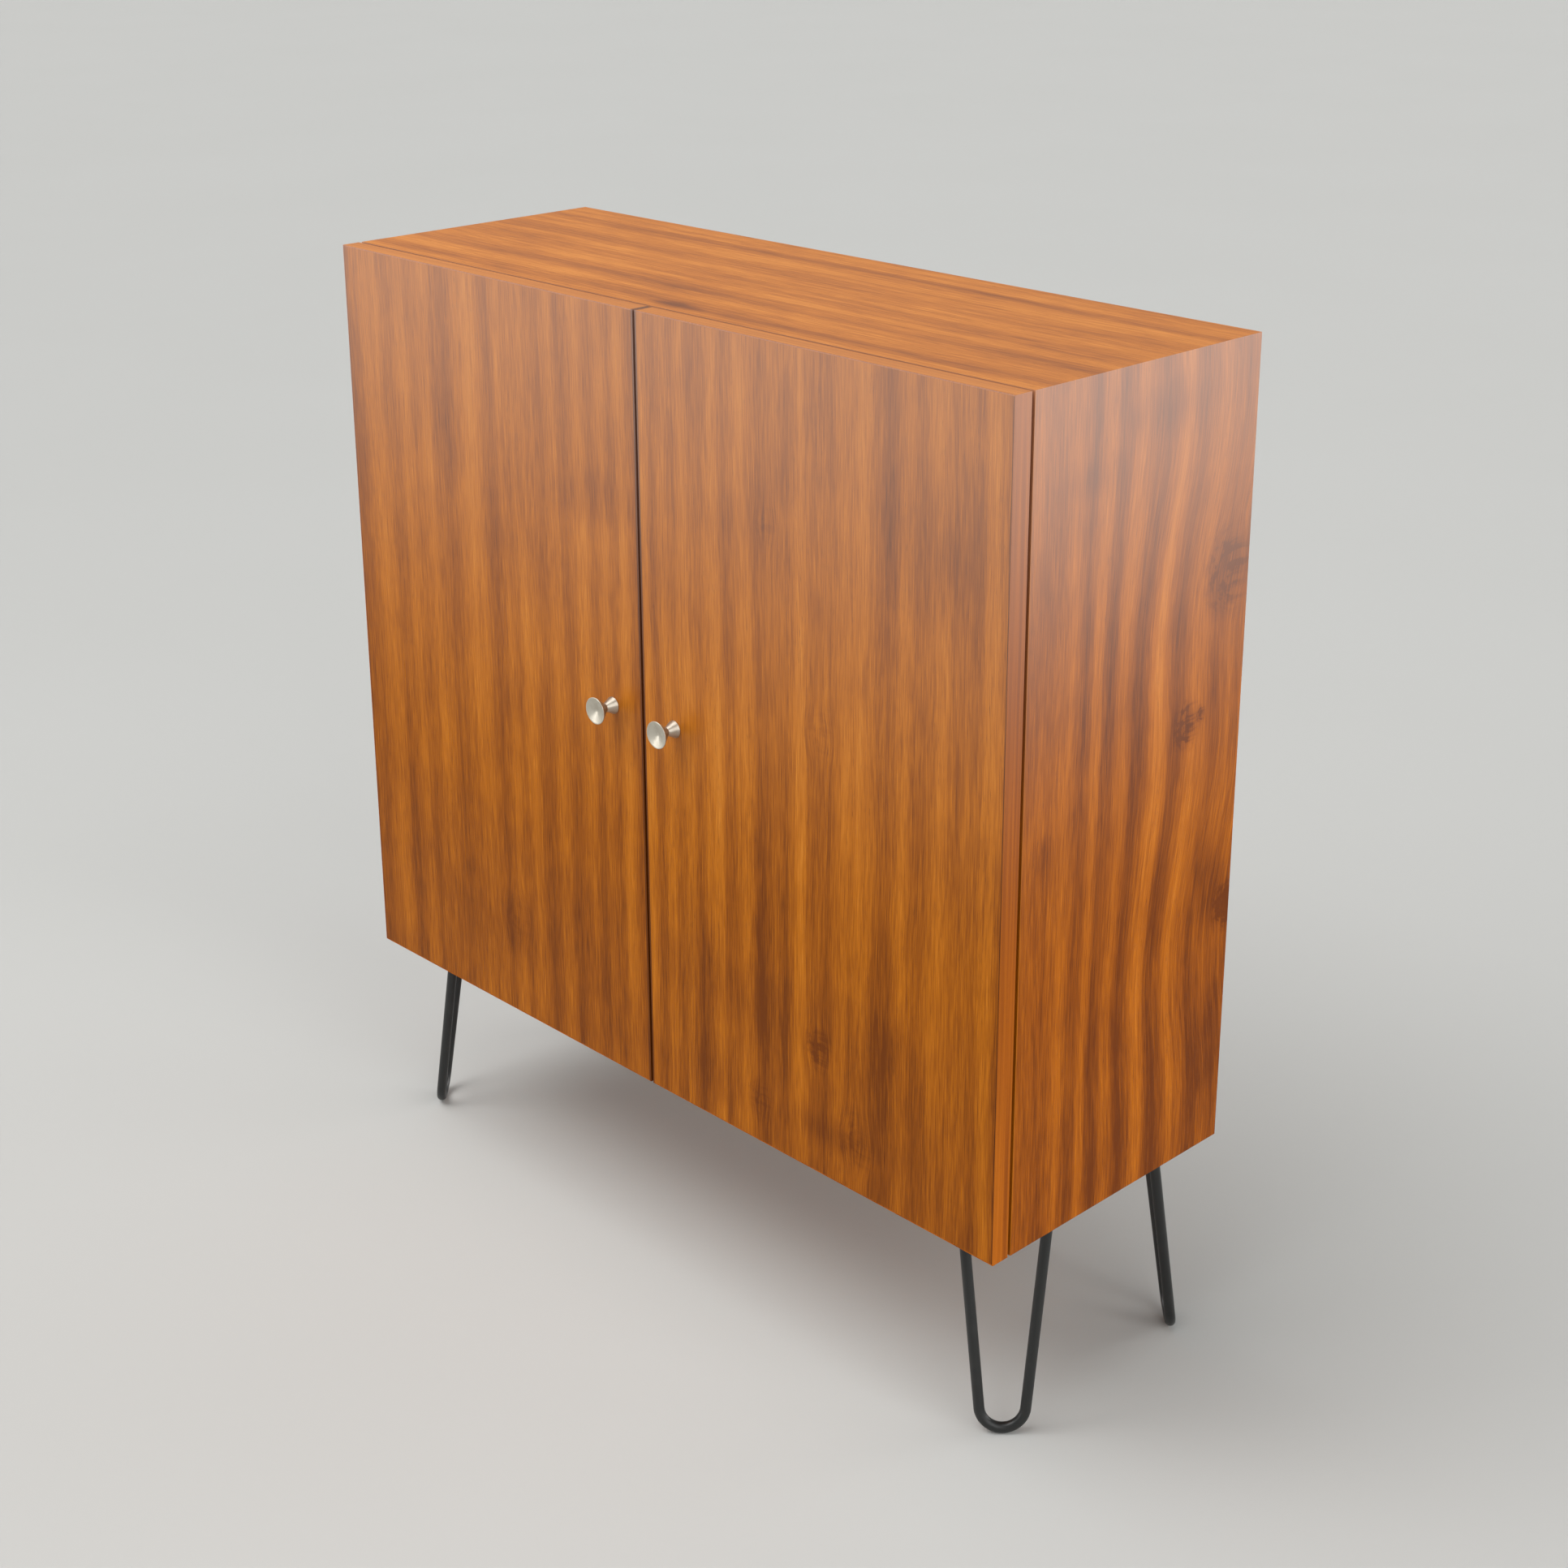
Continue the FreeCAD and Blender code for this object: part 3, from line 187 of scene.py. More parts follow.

# For each panel: the grain's axes (across, along, through), the place of its seen face, the stretch
# that its stripes cover, and its glue lines. Then how red and dark the wood is, how much its stripes
# and its fine streaks show, how much painted sheen, a paler colour standing in for a reflection, it
# gets (upright panels mostly near their tops), how much lacquer the upper part has, and its gloss.
# A stripe is a place across the panel, lighter above 0 and darker below 0. A cloud is a place across
# and along, its two sizes and its strength; a knot a place, its size and its strength.
leftDoorLook = {
    "axes": "xzy", "face": -0.1445, "seed": 3.1, "span": (-0.440, 0.0), "glue": (-0.439, -0.0025),
    "red": 0.1, "depth": 0.48, "figure": 0.62, "streaks": 0.34,
    "paintedSheen": 0.10, "polish": 1.0, "gloss": 0.08,
    "stripes": [(-0.428, -7), (-0.412, 2), (-0.392, 7), (-0.373, -8), (-0.349, 6), (-0.333, -6),
                (-0.311, 6), (-0.285, -8), (-0.262, 1), (-0.240, 7), (-0.212, -6), (-0.195, 4),
                (-0.184, -3), (-0.166, 5), (-0.140, -7), (-0.121, 7), (-0.107, -8), (-0.080, 7),
                (-0.065, -5), (-0.052, 5), (-0.038, -6), (-0.024, 10), (-0.010, -6)],
    "sway": 0.006, "curves": [],
    "clouds": [(-0.065, 0.780, 0.070, 0.026, 0.17), (-0.225, 0.300, 0.080, 0.040, 0.14),
               (-0.290, 0.820, 0.030, 0.120, 0.14), (-0.210, 0.620, 0.030, 0.150, 0.12)],
    "knots": [(-0.205, 0.312, 0.020, 0.12)],
}
rightDoorLook = {
    "axes": "xzy", "face": -0.1445, "seed": 11.7, "span": (0.0, 0.440), "glue": (0.0025, 0.439),
    "red": 0.1, "depth": 0.48, "figure": 0.62, "streaks": 0.34,
    "paintedSheen": 0.12, "polish": 1.0, "gloss": 0.08,
    "stripes": [(0.010, 7), (0.022, -6), (0.034, 5), (0.047, -6), (0.060, 4), (0.077, -8),
                (0.101, 7), (0.115, -6), (0.136, 9), (0.157, -8), (0.177, 1), (0.188, -4),
                (0.206, 11), (0.218, -2), (0.240, -8), (0.258, 5), (0.267, -2), (0.282, 7),
                (0.310, -10), (0.329, 7), (0.343, -6), (0.367, 8), (0.383, -4), (0.397, 3),
                (0.410, -4), (0.423, 12), (0.436, -2)],
    "sway": 0.006, "curves": [],
    "clouds": [(0.080, 0.290, 0.030, 0.100, 0.17), (0.165, 0.420, 0.030, 0.140, 0.14),
               (0.300, 0.330, 0.035, 0.110, 0.19), (0.380, 0.820, 0.060, 0.080, 0.14),
               (0.240, 0.250, 0.050, 0.016, 0.14), (0.150, 0.810, 0.030, 0.060, 0.10)],
    "knots": [(0.227, 0.330, 0.014, 0.42), (0.276, 0.257, 0.020, 0.24), (0.153, 0.248, 0.013, 0.20),
              (0.230, 0.632, 0.016, 0.14), (0.165, 0.805, 0.012, 0.16)],
}
# The sides' grain waves from front to back: each curve is height, length and start
sideLook = {
    "axes": "yzx", "face": 0.440, "seed": 23.4, "span": (-0.1235, 0.1665), "glue": None,
    "red": 0.45, "depth": 0.52, "figure": 0.64, "streaks": 0.38,
    "paintedSheen": 0.28, "polish": 1.0, "gloss": 0.08,
    "stripes": [(-0.112, 2), (-0.100, -3), (-0.086, -6), (-0.066, 6), (-0.050, -13), (-0.033, 9),
                (-0.017, -12), (0.004, 8), (0.026, -15), (0.052, 16), (0.077, -15), (0.103, 9),
                (0.133, -12), (0.150, 2), (0.162, -4)],
    "sway": 0.004, "curves": [(0.0170, 1.287, 1.9156), (0.0062, 0.322, 0.3421)], "top": 0.965,
    "clouds": [(-0.090, 0.560, 0.020, 0.030, 0.17), (0.050, 0.925, 0.050, 0.026, 0.19),
               (0.135, 0.470, 0.018, 0.040, 0.26), (-0.050, 0.880, 0.040, 0.016, 0.12),
               (0.140, 0.300, 0.020, 0.060, 0.17)],
    "knots": [(0.138, 0.765, 0.026, 0.70), (0.090, 0.634, 0.014, 0.90), (0.109, 0.640, 0.005, 0.90),
              (0.160, 0.443, 0.014, 1.0)],
}
topLook = {
    "axes": "yxz", "face": 0.965, "seed": 37.9, "span": (-0.1235, 0.1665), "glue": None,
    "red": 0.1, "depth": 0.36, "figure": 0.84, "streaks": 0.56,
    "paintedSheen": 0.11, "polish": 0.0, "gloss": 0.012,
    "stripes": [(-0.112, 3), (-0.100, -5), (-0.078, 4), (-0.062, 1), (-0.046, -7), (-0.028, 3),
                (-0.010, 3), (0.014, -2), (0.036, 4), (0.062, -4), (0.085, 5), (0.110, 2),
                (0.123, -8), (0.138, 5), (0.158, 1)],
    "sway": 0.006, "curves": [],
    "clouds": [(-0.104, 0.010, 0.010, 0.030, 0.36)], "knots": [(-0.104, 0.010, 0.008, 0.25)],
}
innerLook = {
    "axes": "yxz", "face": 0.7315, "seed": 51.2, "span": (-0.1235, 0.1665), "glue": None,
    "red": 0.1, "depth": 0.20, "figure": 0.80, "streaks": 0.40,
    "paintedSheen": 0.0, "polish": 0.0, "gloss": 0.03,
    "stripes": [(-0.100, -5), (-0.070, 4), (-0.040, -6), (-0.010, 5), (0.020, -5), (0.060, 5),
                (0.090, -6), (0.130, 4)],
    "sway": 0.008, "curves": [], "clouds": [], "knots": [],
}


def sidewaysDrift(shade, across, along, look):
    # How far the grain has moved sideways: slow noise, and the look's curves, which grow to the back
    seed = look["seed"]
    slow = shade.noise(across * 4.0, along * 2.2, seed, 1.0) - 0.5
    quick = shade.noise(across * 16.0, along * 7.0, seed + 5.0, 1.0) - 0.5
    drift = slow * (look["sway"] * 2.0) + quick * 0.004
    for height, length, start in look["curves"]:
        share = across.fade(-0.09, 0.09)
        drift = drift + ((look["top"] - along) * (math.tau / length) + start).sine() * share * height
    return drift


def stripeTone(shade, lane, look):
    # The named stripes as one smooth curve across the panel, from 0 (light) to 1 (dark)
    low, high = look["span"]
    stops = []
    for spot, light in look["stripes"]:
        dark = 0.5 - light / 40.0
        stops.append(((spot - low) / (high - low), (dark, dark, dark, 1.0)))
    return shade.ramp((lane - low) / (high - low), stops, "CARDINAL")


def softClouds(shade, across, along, look):
    # Soft dark patches with a wavering edge
    dark = 0.0
    for number, (spot, level, wide, tall, strength) in enumerate(look["clouds"]):
        aside = (across - spot) / wide
        above = (along - level) / tall
        wobble = shade.noise(across * 22.0, along * 16.0, look["seed"] + 50.0 + number, 2.0) - 0.5
        near = ((aside * aside + above * above) ** 0.5 + wobble * 1.4).fade(1.5, 0.1)
        dark = dark + near * strength
    return dark


def shadeUpward(shade):
    # 0 up to 0.42 m over the floor, and 1 at 1 m, just above the cabinet
    return shade.z.fade(0.42, 1.0)


def woodTone(shade, tone):
    # From 0 (pale) to 1 (dark)
    return shade.ramp(tone, [(0.0, veneerTones["pale"]), (0.35, veneerTones["golden"]),
                             (0.68, veneerTones["brown"]), (1.0, veneerTones["dark"])])


def veneer(name, look):
    shade = Shade(name)
    lanes = {"x": shade.x, "y": shade.y, "z": shade.z}
    across, along, through = (lanes[letter] for letter in look["axes"])
    seed = look["seed"]
    # Below the seen face the grain runs on at a slant, so the edges of a board show it too
    below = (abs(through) if look["axes"][2] == "x" else through) - look["face"]
    lane = across - sidewaysDrift(shade, across, along, look) + below * grainSlant
    # Knots bend the grain round themselves and darken it in wisps
    knots = 0.0
    for spot, level, size, strength in look["knots"]:
        aside = (across - spot) / size
        above = (along - level) / (size * 1.3)
        near = ((aside * aside + above * above) ** 0.5).fade(1.7, 0.0)
        lane = lane - aside * near * (size * 0.5)
        swirl = shade.noise(aside * 1.2 + near * 2.0, above * 2.6, seed + spot * 40.0, 3.0, 0.6)
        knots = knots + near * (swirl.fade(0.44, 0.62) * 0.7 + 0.3) * strength
    # Noise of every size, from broad to hair-fine: counts per metre across the grain, then along it
    stripes = stripeTone(shade, lane, look) - 0.5
    breaks = shade.noise(across * 7.0, along * 3.2, seed + 2.3, 2.0).fade(0.22, 0.66) * 0.6 + 0.7
    broad = shade.noise(lane * 16.0, along * 1.6, seed + 9.0, 2.0) - 0.5
    middle = shade.noise(lane * 80.0, along * 2.0, seed + 13.0, 1.0) - 0.5
    narrow = shade.noise(lane * 300.0, along * 7.0, seed + 17.0, 3.0, 0.6) - 0.5
    hair = shade.noise(lane * 1100.0, along * 30.0, seed + 21.0, 2.0, 0.6) - 0.5
    # Cross figure, where the fibres lean to and fro
    cross = shade.noise(across * 24.0, along * 14.0, seed + 25.0, 2.0) - 0.5
    blot = shade.noise(across * 6.0, along * 4.0, seed + 29.0, 2.0) - 0.5
    figure = stripes * breaks * look["figure"] + broad * 0.20 + hair + cross * 0.26 + blot * 0.36
    figure = figure + (middle + narrow * 1.4) * look["streaks"]
    # Painted shade: upright panels are painted a shade deeper towards the foot, where less light
    # reaches them; level ones get a small even amount
    upright = look["axes"][1] == "z"
    paintedFootShade = (shade.z - carcassFoot).fade(0.50, -0.06) * 0.22 if upright else 0.04
    tone = figure + look["depth"] + paintedFootShade + knots
    tone = tone + softClouds(shade, across, along, look)
    wood = woodTone(shade, tone)
    wood = shade.mix(look["red"], wood, shade.mix(1.0, wood, colour(255, 226, 226), "MULTIPLY"))
    # Pores: short dashes along the grain, more of them in some lanes
    pores = shade.noise(lane * 2400.0, along * 80.0, seed + 33.0, 1.0).fade(0.64, 0.76)
    crowd = shade.noise(lane * 60.0, along * 3.0, seed + 37.0, 1.0).fade(0.40, 0.60)
    dashes = pores * (crowd * 0.7 + 0.3)
    wood = shade.mix(dashes * 0.55, wood, veneerTones["line"])
    if look["glue"]:
        # The glue line where the face veneer meets the edge strip
        left, right = look["glue"]
        edge = abs(across - (left + right) / 2).above((right - left) / 2 - glueWidth)
        wood = shade.mix(edge * 0.85, wood, veneerTones["line"])
    shine = 0.46 - look["gloss"] * 2.0 + narrow * 0.16 + dashes * 0.25 + blot * 0.06
    skin = shade.bump(hair * 0.4 - dashes, 0.00012, 0.5)
    polish = look["polish"]
    if upright:
        # Only on the outer face: 1 there, 0 on the inside, which is a board's thickness below it
        upward = shadeUpward(shade) * abs(below).fade(0.014, 0.008)
        polish = upward * polish
        # Painted sheen: the upper part of the outer face is painted paler, standing in for a
        # reflection of bright light
        wood = shade.mix(upward * upward * look["paintedSheen"], wood, veneerTones["paintedSheen"])
    # Level panels are painted evenly paler, a painted sheen
    elif look["paintedSheen"]:
        wood = shade.mix(look["paintedSheen"], wood, veneerTones["paintedSheen"])
    return shade.finish(Base_Color=wood, Roughness=shine, Normal=skin, Coat_Weight=polish,
                        Coat_Roughness=0.38, Coat_IOR=1.6, Specular_IOR_Level=look["gloss"])


# Edge strips: "up" is for strips that stand or go round a door, "along" for those that lie level.
# The last entry, at 1, darkens the edges beside the gap between the doors with painted shade.
edgeLooks = {
    "doorEdge": {"runs": "up", "seed": 61.0, "depth": 0.56, "tint": colour(255, 240, 236),
                 "gapShade": 1.0},
    "sideEdge": {"runs": "up", "seed": 67.0, "depth": 0.50, "tint": colour(255, 250, 240),
                 "gapShade": 0.0},
    "levelEdge": {"runs": "along", "seed": 67.0, "depth": 0.50, "tint": colour(255, 250, 240),
                  "gapShade": 0.0},
    "shelfEdge": {"runs": "along", "seed": 71.0, "depth": 0.54, "tint": colour(255, 245, 235),
                  "gapShade": 0.0},
}


def edgeVeneer(name, look):
    shade = Shade(name + "Veneer")
    facing = shade.node("ShaderNodeTexCoord", out="Normal")
    level = abs(shade.split(facing)[2]).above(0.6)
    if look["runs"] == "along":
        along = shade.x
        across = shade.y + shade.z
    else:
        # Grain runs up the upright faces and along a door's level edges
        along = shade.z + level * (shade.x - shade.z)
        side = shade.x + shade.y
        across = side + level * (shade.y - side)
    seed, tint = look["seed"], look["tint"]
    streak = shade.noise(across * 420.0, along * 3.0, seed, 3.0, 0.6)
    slow = shade.noise(across * 60.0, along * 2.0, seed + 4.0, 2.0)
    # Painted highlight: level edges, top and bottom alike, are painted lighter, as edges facing up
    # look where light falls on them
    tone = look["depth"] + (streak - 0.5) * 0.9 + (slow - 0.5) * 0.6 - level * 0.20
    wood = woodTone(shade, tone)
    wood = shade.mix(1.0 - level, wood, shade.mix(1.0, wood, tint, "MULTIPLY"))
    pores = shade.noise(across * 2600.0, along * 95.0, seed + 8.0, 1.0).fade(0.64, 0.76)
    wood = shade.mix(pores * 0.4, wood, veneerTones["line"])
    # Painted shade: the edges that meet in the middle are painted dark, where shade falls in the gap
    # between the doors, so the gap reads as one line
    middle = abs(shade.x).fade(0.0045, 0.0030) * look["gapShade"]
    wood = shade.mix(middle * 0.7, wood, veneerTones["line"])
    # Upright edges get more lacquer upward and a painted sheen, a paler colour standing in for a
    # reflection, upward; level ones get an even painted sheen
    polish = (1.0 - level) * shadeUpward(shade)
    wood = shade.mix(polish * polish * 0.2 + level * 0.13, wood, veneerTones["paintedSheen"])
    dull = 0.46 + level * 0.2 + (streak - 0.5) * 0.1
    return shade.finish(Base_Color=wood, Roughness=dull, Coat_Weight=polish,
                        Coat_Roughness=0.38, Coat_IOR=1.6, Specular_IOR_Level=0.08,
                        Normal=shade.bump(streak, 0.0001, 0.4))


def backBoard(name):
    # Thin hardboard: brown, with short pressed fibres
    shade = Shade(name)
    fibres = shade.noise(shade.x * 620.0, shade.z * 900.0, 2.0, 3.0, 0.7)
    clouds = shade.noise(shade.x * 7.0, shade.z * 7.0, 5.0, 3.0)
    wood = shade.ramp(fibres * 0.93 + clouds * 0.07, [(0.3, colour(92, 60, 38)),
                                                      (0.7, colour(136, 94, 62))])
    return shade.finish(Base_Color=wood, Roughness=0.7, Normal=shade.bump(fibres, 0.0001, 0.3))


def splinePlywood(name):
    shade = Shade(name)
    plies = ((shade.x - shade.z) * 4200.0).sine()
    wood = shade.ramp(plies * 0.5 + 0.5, [(0.3, colour(196, 156, 108)), (0.7, colour(156, 112, 70))])
    return shade.finish(Base_Color=wood, Roughness=0.6)


# Metal and plastic

metalLooks = {
    # Base colour, roughness, size of the marks in metres, and how much they show
    "hingeCupSteel": (colour(196, 197, 200), 0.24, 0.0012, 0.10),
    "hingeArmSteel": (colour(196, 197, 200), 0.22, 0.0012, 0.10),
    "hingePlateSteel": (colour(190, 191, 194), 0.28, 0.0014, 0.12),
    "hingePinSteel": (colour(160, 160, 162), 0.30, 0.0006, 0.12),
    "shelfPinSteel": (colour(196, 197, 200), 0.26, 0.0010, 0.10),
    "strikeSteel": (colour(150, 152, 155), 0.50, 0.0016, 0.16),
    "screwSteel": (colour(128, 126, 120), 0.48, 0.0008, 0.14),
}


def plated(name, look):
    base, rough, grain, show = look
    shade = Shade(name)
    marks = shade.noise(shade.x / grain, shade.y / grain, shade.z / grain, 3.0, 0.65)
    clouds = shade.noise(shade.x * 60.0, shade.y * 60.0, shade.z * 60.0, 2.0)
    skin = shade.mix(clouds.fade(0.35, 0.75) * show * 2.0, base, colour(120, 118, 112))
    return shade.finish(Base_Color=skin, Metallic=1.0, Roughness=rough + (marks - 0.5) * show * 2.0,
                        Normal=shade.bump(marks, 0.00004, 0.3))


def satinNickel(name, middle):
    # Turned nickel: fine rings round the knob's own axis
    shade = Shade(name)
    aside = shade.x - middle[0]
    above = shade.z - middle[2]
    radius = (aside * aside + above * above) ** 0.5
    rings = shade.noise(radius * 5200.0, 1.0, 2.0, 2.0, 0.7)
    coarse = (radius * 9000.0).sine()
    wear = shade.noise(shade.x * 180.0, shade.y * 180.0, shade.z * 180.0, 3.0)
    skin = shade.mix(wear.fade(0.4, 0.7) * 0.35, colour(198, 192, 178), colour(168, 158, 142))
    return shade.finish(Base_Color=skin, Metallic=1.0, Roughness=0.40 + (rings - 0.5) * 0.22,
                        Normal=shade.bump(rings + coarse * 0.15, 0.00005, 0.8))


def powderCoat(name, tint=colour(26, 27, 26)):
    shade = Shade(name)
    peel = shade.noise(shade.x * 900.0, shade.y * 900.0, shade.z * 900.0, 2.0, 0.5)
    dust = shade.noise(shade.x * 70.0, shade.y * 70.0, shade.z * 70.0, 3.0)
    skin = shade.mix(dust.fade(0.5, 0.8) * 0.3, tint, colour(48, 48, 46))
    return shade.finish(Base_Color=skin, Roughness=0.42 + (dust - 0.5) * 0.2,
                        Normal=shade.bump(peel, 0.00012, 0.35))


def moulded(name):
    shade = Shade(name)
    grain = shade.noise(shade.x * 2400.0, shade.y * 2400.0, shade.z * 2400.0, 2.0)
    skin = shade.mix(grain.fade(0.4, 0.7) * 0.3, colour(96, 58, 34), colour(74, 44, 26))
    return shade.finish(Base_Color=skin, Roughness=0.5, Normal=shade.bump(grain, 0.0001, 0.4))


def magnetIron(name):
    shade = Shade(name)
    speckle = shade.noise(shade.x * 1800.0, shade.y * 1800.0, shade.z * 1800.0, 3.0)
    skin = shade.mix(speckle.fade(0.4, 0.6), colour(64, 64, 66), colour(96, 96, 98))
    return shade.finish(Base_Color=skin, Metallic=0.6, Roughness=0.5)


def middleOf(node):
    low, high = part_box(node)
    return (low + high) / 2


def dress(material, *names):
    for name in names:
        slots = nodes[name].data.materials
        slots.clear()
        slots.append(material)


doorSides = ("left", "right")
levels = ("upper", "lower")
corners = ("front_left", "front_right", "back_left", "back_right")

dress(veneer("leftDoorVeneer", leftDoorLook), "left_door")
dress(veneer("rightDoorVeneer", rightDoorLook), "right_door")
dress(veneer("sideVeneer", sideLook), "left_side_panel", "right_side_panel")
dress(veneer("topVeneer", topLook), "top_panel")
dress(veneer("innerVeneer", innerLook), "bottom_panel", "upper_shelf", "lower_shelf")
edges = {name: edgeVeneer(name, look) for name, look in edgeLooks.items()}
dress(edges["doorEdge"], "left_door_strips", "right_door_strips")
dress(edges["sideEdge"], "left_edge_strip", "right_edge_strip")
dress(edges["levelEdge"], "top_edge_strip", "bottom_edge_strip")
dress(edges["shelfEdge"], "upper_shelf_strip", "lower_shelf_strip")
dress(backBoard("backBoard"), "back_panel")
dress(splinePlywood("splinePlywood"), "corner_splines")
print("wood finished")

metals = {name: plated(name, look) for name, look in metalLooks.items()}
for side in doorSides:
    dress(metals["hingePinSteel"], side + "_hinge_pins")
    dress(metals["strikeSteel"], side + "_strike")
    for level in levels:
        dress(metals["hingeCupSteel"], f"{side}_{level}_hinge_cup")
        dress(metals["hingeArmSteel"], f"{side}_{level}_hinge_arm")
        dress(metals["hingePlateSteel"], f"{side}_{level}_hinge_plate")
dress(metals["shelfPinSteel"], "upper_shelf_pins", "lower_shelf_pins")
legPaint = powderCoat("legPaint")
for corner in corners:
    dress(legPaint, corner + "_leg", corner + "_leg_plate")
legScrewBlack = powderCoat("legScrewBlack", colour(40, 40, 40))
dress(moulded("catchPlastic"), "left_catch_housing", "right_catch_housing")
dress(magnetIron("magnetIron"), "left_catch_magnet", "right_catch_magnet")
print("metal and plastic finished")

# Turned knobs and screws, made new over their plain solids

knobLook = {
    "baseRadius": 0.0085, "waistRadius": 0.0038, "waistReach": 0.0100, "rim": 0.0009,
    "dish": 0.0026, "hub": 0.0014, "softness": 0.0006, "around": 96,
}
# Screw heads: height and radius as shares of the head, then the cross that is pressed in
screwLook = {
    "dome": [(0.0, 1.0), (0.3, 1.0), (0.68, 0.9), (0.92, 0.72), (1.0, 0.58)],
    "armLength": 0.5, "armWidth": 0.13, "recess": 0.6, "recessTaper": 0.7, "tip": 0.2,
}


def softened(corners, reach, steps=5):
    # Each inner corner turns into the curve (1-t)^2 a + 2t(1-t) corner + t^2 b, where a and b lie
    # on its two sides, no farther than reach from it
    corners = np.array(corners, float)
    inner = corners[1:-1]
    sides = []
    for other in (corners[:-2], corners[2:]):
        away = other - inner
        length = np.linalg.norm(away, axis=1, keepdims=True)
        sides.append(inner + away / length * np.minimum(reach, length * 0.45))
    t = np.linspace(0, 1, steps)[None, :, None]
    start, end = sides[0][:, None], sides[1][:, None]
    curve = (1 - t) ** 2 * start + 2 * t * (1 - t) * inner[:, None] + t ** 2 * end
    return np.vstack([corners[:1], curve.reshape(-1, 2), corners[-1:]])


def crossAxes(axis):
    axis = np.array(axis, float)
    first = np.array((axis[1], axis[2], axis[0]))
    return first, np.cross(axis, first), axis


def turned(middle, axis, reach, radius, angles):
    # point = middle + axis * reach[ring] + radius[ring, angle] * (cos * first + sin * second)
    first, second, axis = crossAxes(axis)
    spokes = np.cos(angles)[:, None] * first + np.sin(angles)[:, None] * second
    points = np.array(middle) + reach[:, None, None] * axis + radius[:, :, None] * spokes[None]
    rings, around = radius.shape
    ring, step = np.meshgrid(np.arange(rings - 1), np.arange(around), indexing="ij")
    here, beside = ring * around + step, ring * around + (step + 1) % around
    quads = np.stack([here, beside, beside + around, here + around], -1).reshape(-1, 4)
    ends = np.stack([np.arange(around)[::-1], np.arange(around) + (rings - 1) * around])
    return points.reshape(-1, 3), (quads, ends)


def newPiece(name, parts, material, body, replaced, sharp=30):
    points, faces, count = [], [], 0
    for somePoints, groups in parts:
        points.append(somePoints)
        for group in groups:
            faces += (group + count).tolist()
        count += len(somePoints)
    mesh = bpy.data.meshes.new(name)
    mesh.from_pydata(np.vstack(points).tolist(), [], faces)
    mesh.shade_smooth()
    mesh.set_sharp_from_angle(angle=math.radians(sharp))
    mesh.materials.append(material)
    piece = bpy.data.objects.new(name, mesh)
    scene.collection.objects.link(piece)
    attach(piece, body)
    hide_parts(replaced)
    return piece


def turnedKnob(side, look, material):
    low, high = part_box(side + "_knob")
    reach = high.y - low.y
    disc = (high.x - low.x) / 2
    corners = [(0, 0.0004), (0, look["baseRadius"]), (look["waistReach"], look["waistRadius"]),
               (reach - look["rim"], disc), (reach, disc), (reach, disc - look["rim"]),
               (reach - look["dish"], look["hub"]), (reach - look["dish"], 0.0004)]
    profile = softened(corners, look["softness"])
    angles = np.linspace(0, math.tau, look["around"], endpoint=False)
    radius = np.repeat(profile[:, 1:], look["around"], axis=1)
    middle = ((low.x + high.x) / 2, high.y, (low.z + high.z) / 2)
    parts = [turned(middle, (0, -1, 0), profile[:, 0], radius, angles)]
    newPiece(side + "KnobTurned", parts, material, side + "_leaf", side + "_knob")


# Least gap between two screws side by side, and between two on one line, in metres
screwGap = 0.0025
screwRowGap = 0.025


def screwsIn(node, lane):
    # The node's screws, one by one: vertices with no gap between them belong together
    mesh = nodes[node].data
    points = np.empty(len(mesh.vertices) * 3)
    mesh.vertices.foreach_get("co", points)
    points = points.reshape(-1, 3)
    keys = np.zeros(len(points), int)
    for axis in range(3):
        if axis == lane:
            continue
        order = np.sort(points[:, axis])
        gaps = order[1:][np.diff(order) > screwGap]
        keys = keys * 1000 + np.searchsorted(gaps, points[:, axis], side="right")
    for key in np.unique(keys):
        yield from byLength(points[keys == key], lane)


def byLength(points, lane):
    # Two screws on one line, one behind the other, are told apart by the gap between them
    order = np.sort(points[:, lane])
    gaps = order[1:][np.diff(order) > screwRowGap]
    keys = np.searchsorted(gaps, points[:, lane], side="right")
    for key in np.unique(keys):
        yield points[keys == key]


def crossOutline(angles, look):
    # Radius of a plus sign in every direction, for a head of radius 1
    turn = np.abs((angles + math.pi / 4) % (math.pi / 2) - math.pi / 4)
    end = look["armLength"] / np.cos(turn)
    side = look["armWidth"] / np.maximum(np.sin(turn), 0.001)
    return np.minimum(end, side)


def crossAngles(look):
    # Every corner of the cross gets a spoke of its own
    corner = math.atan2(look["armWidth"], look["armLength"])
    quarter = np.array([-corner, 0, corner, 0.5, math.pi / 4, math.pi / 2 - 0.5])
    return (quarter[None] + np.arange(4)[:, None] * math.pi / 2).ravel()


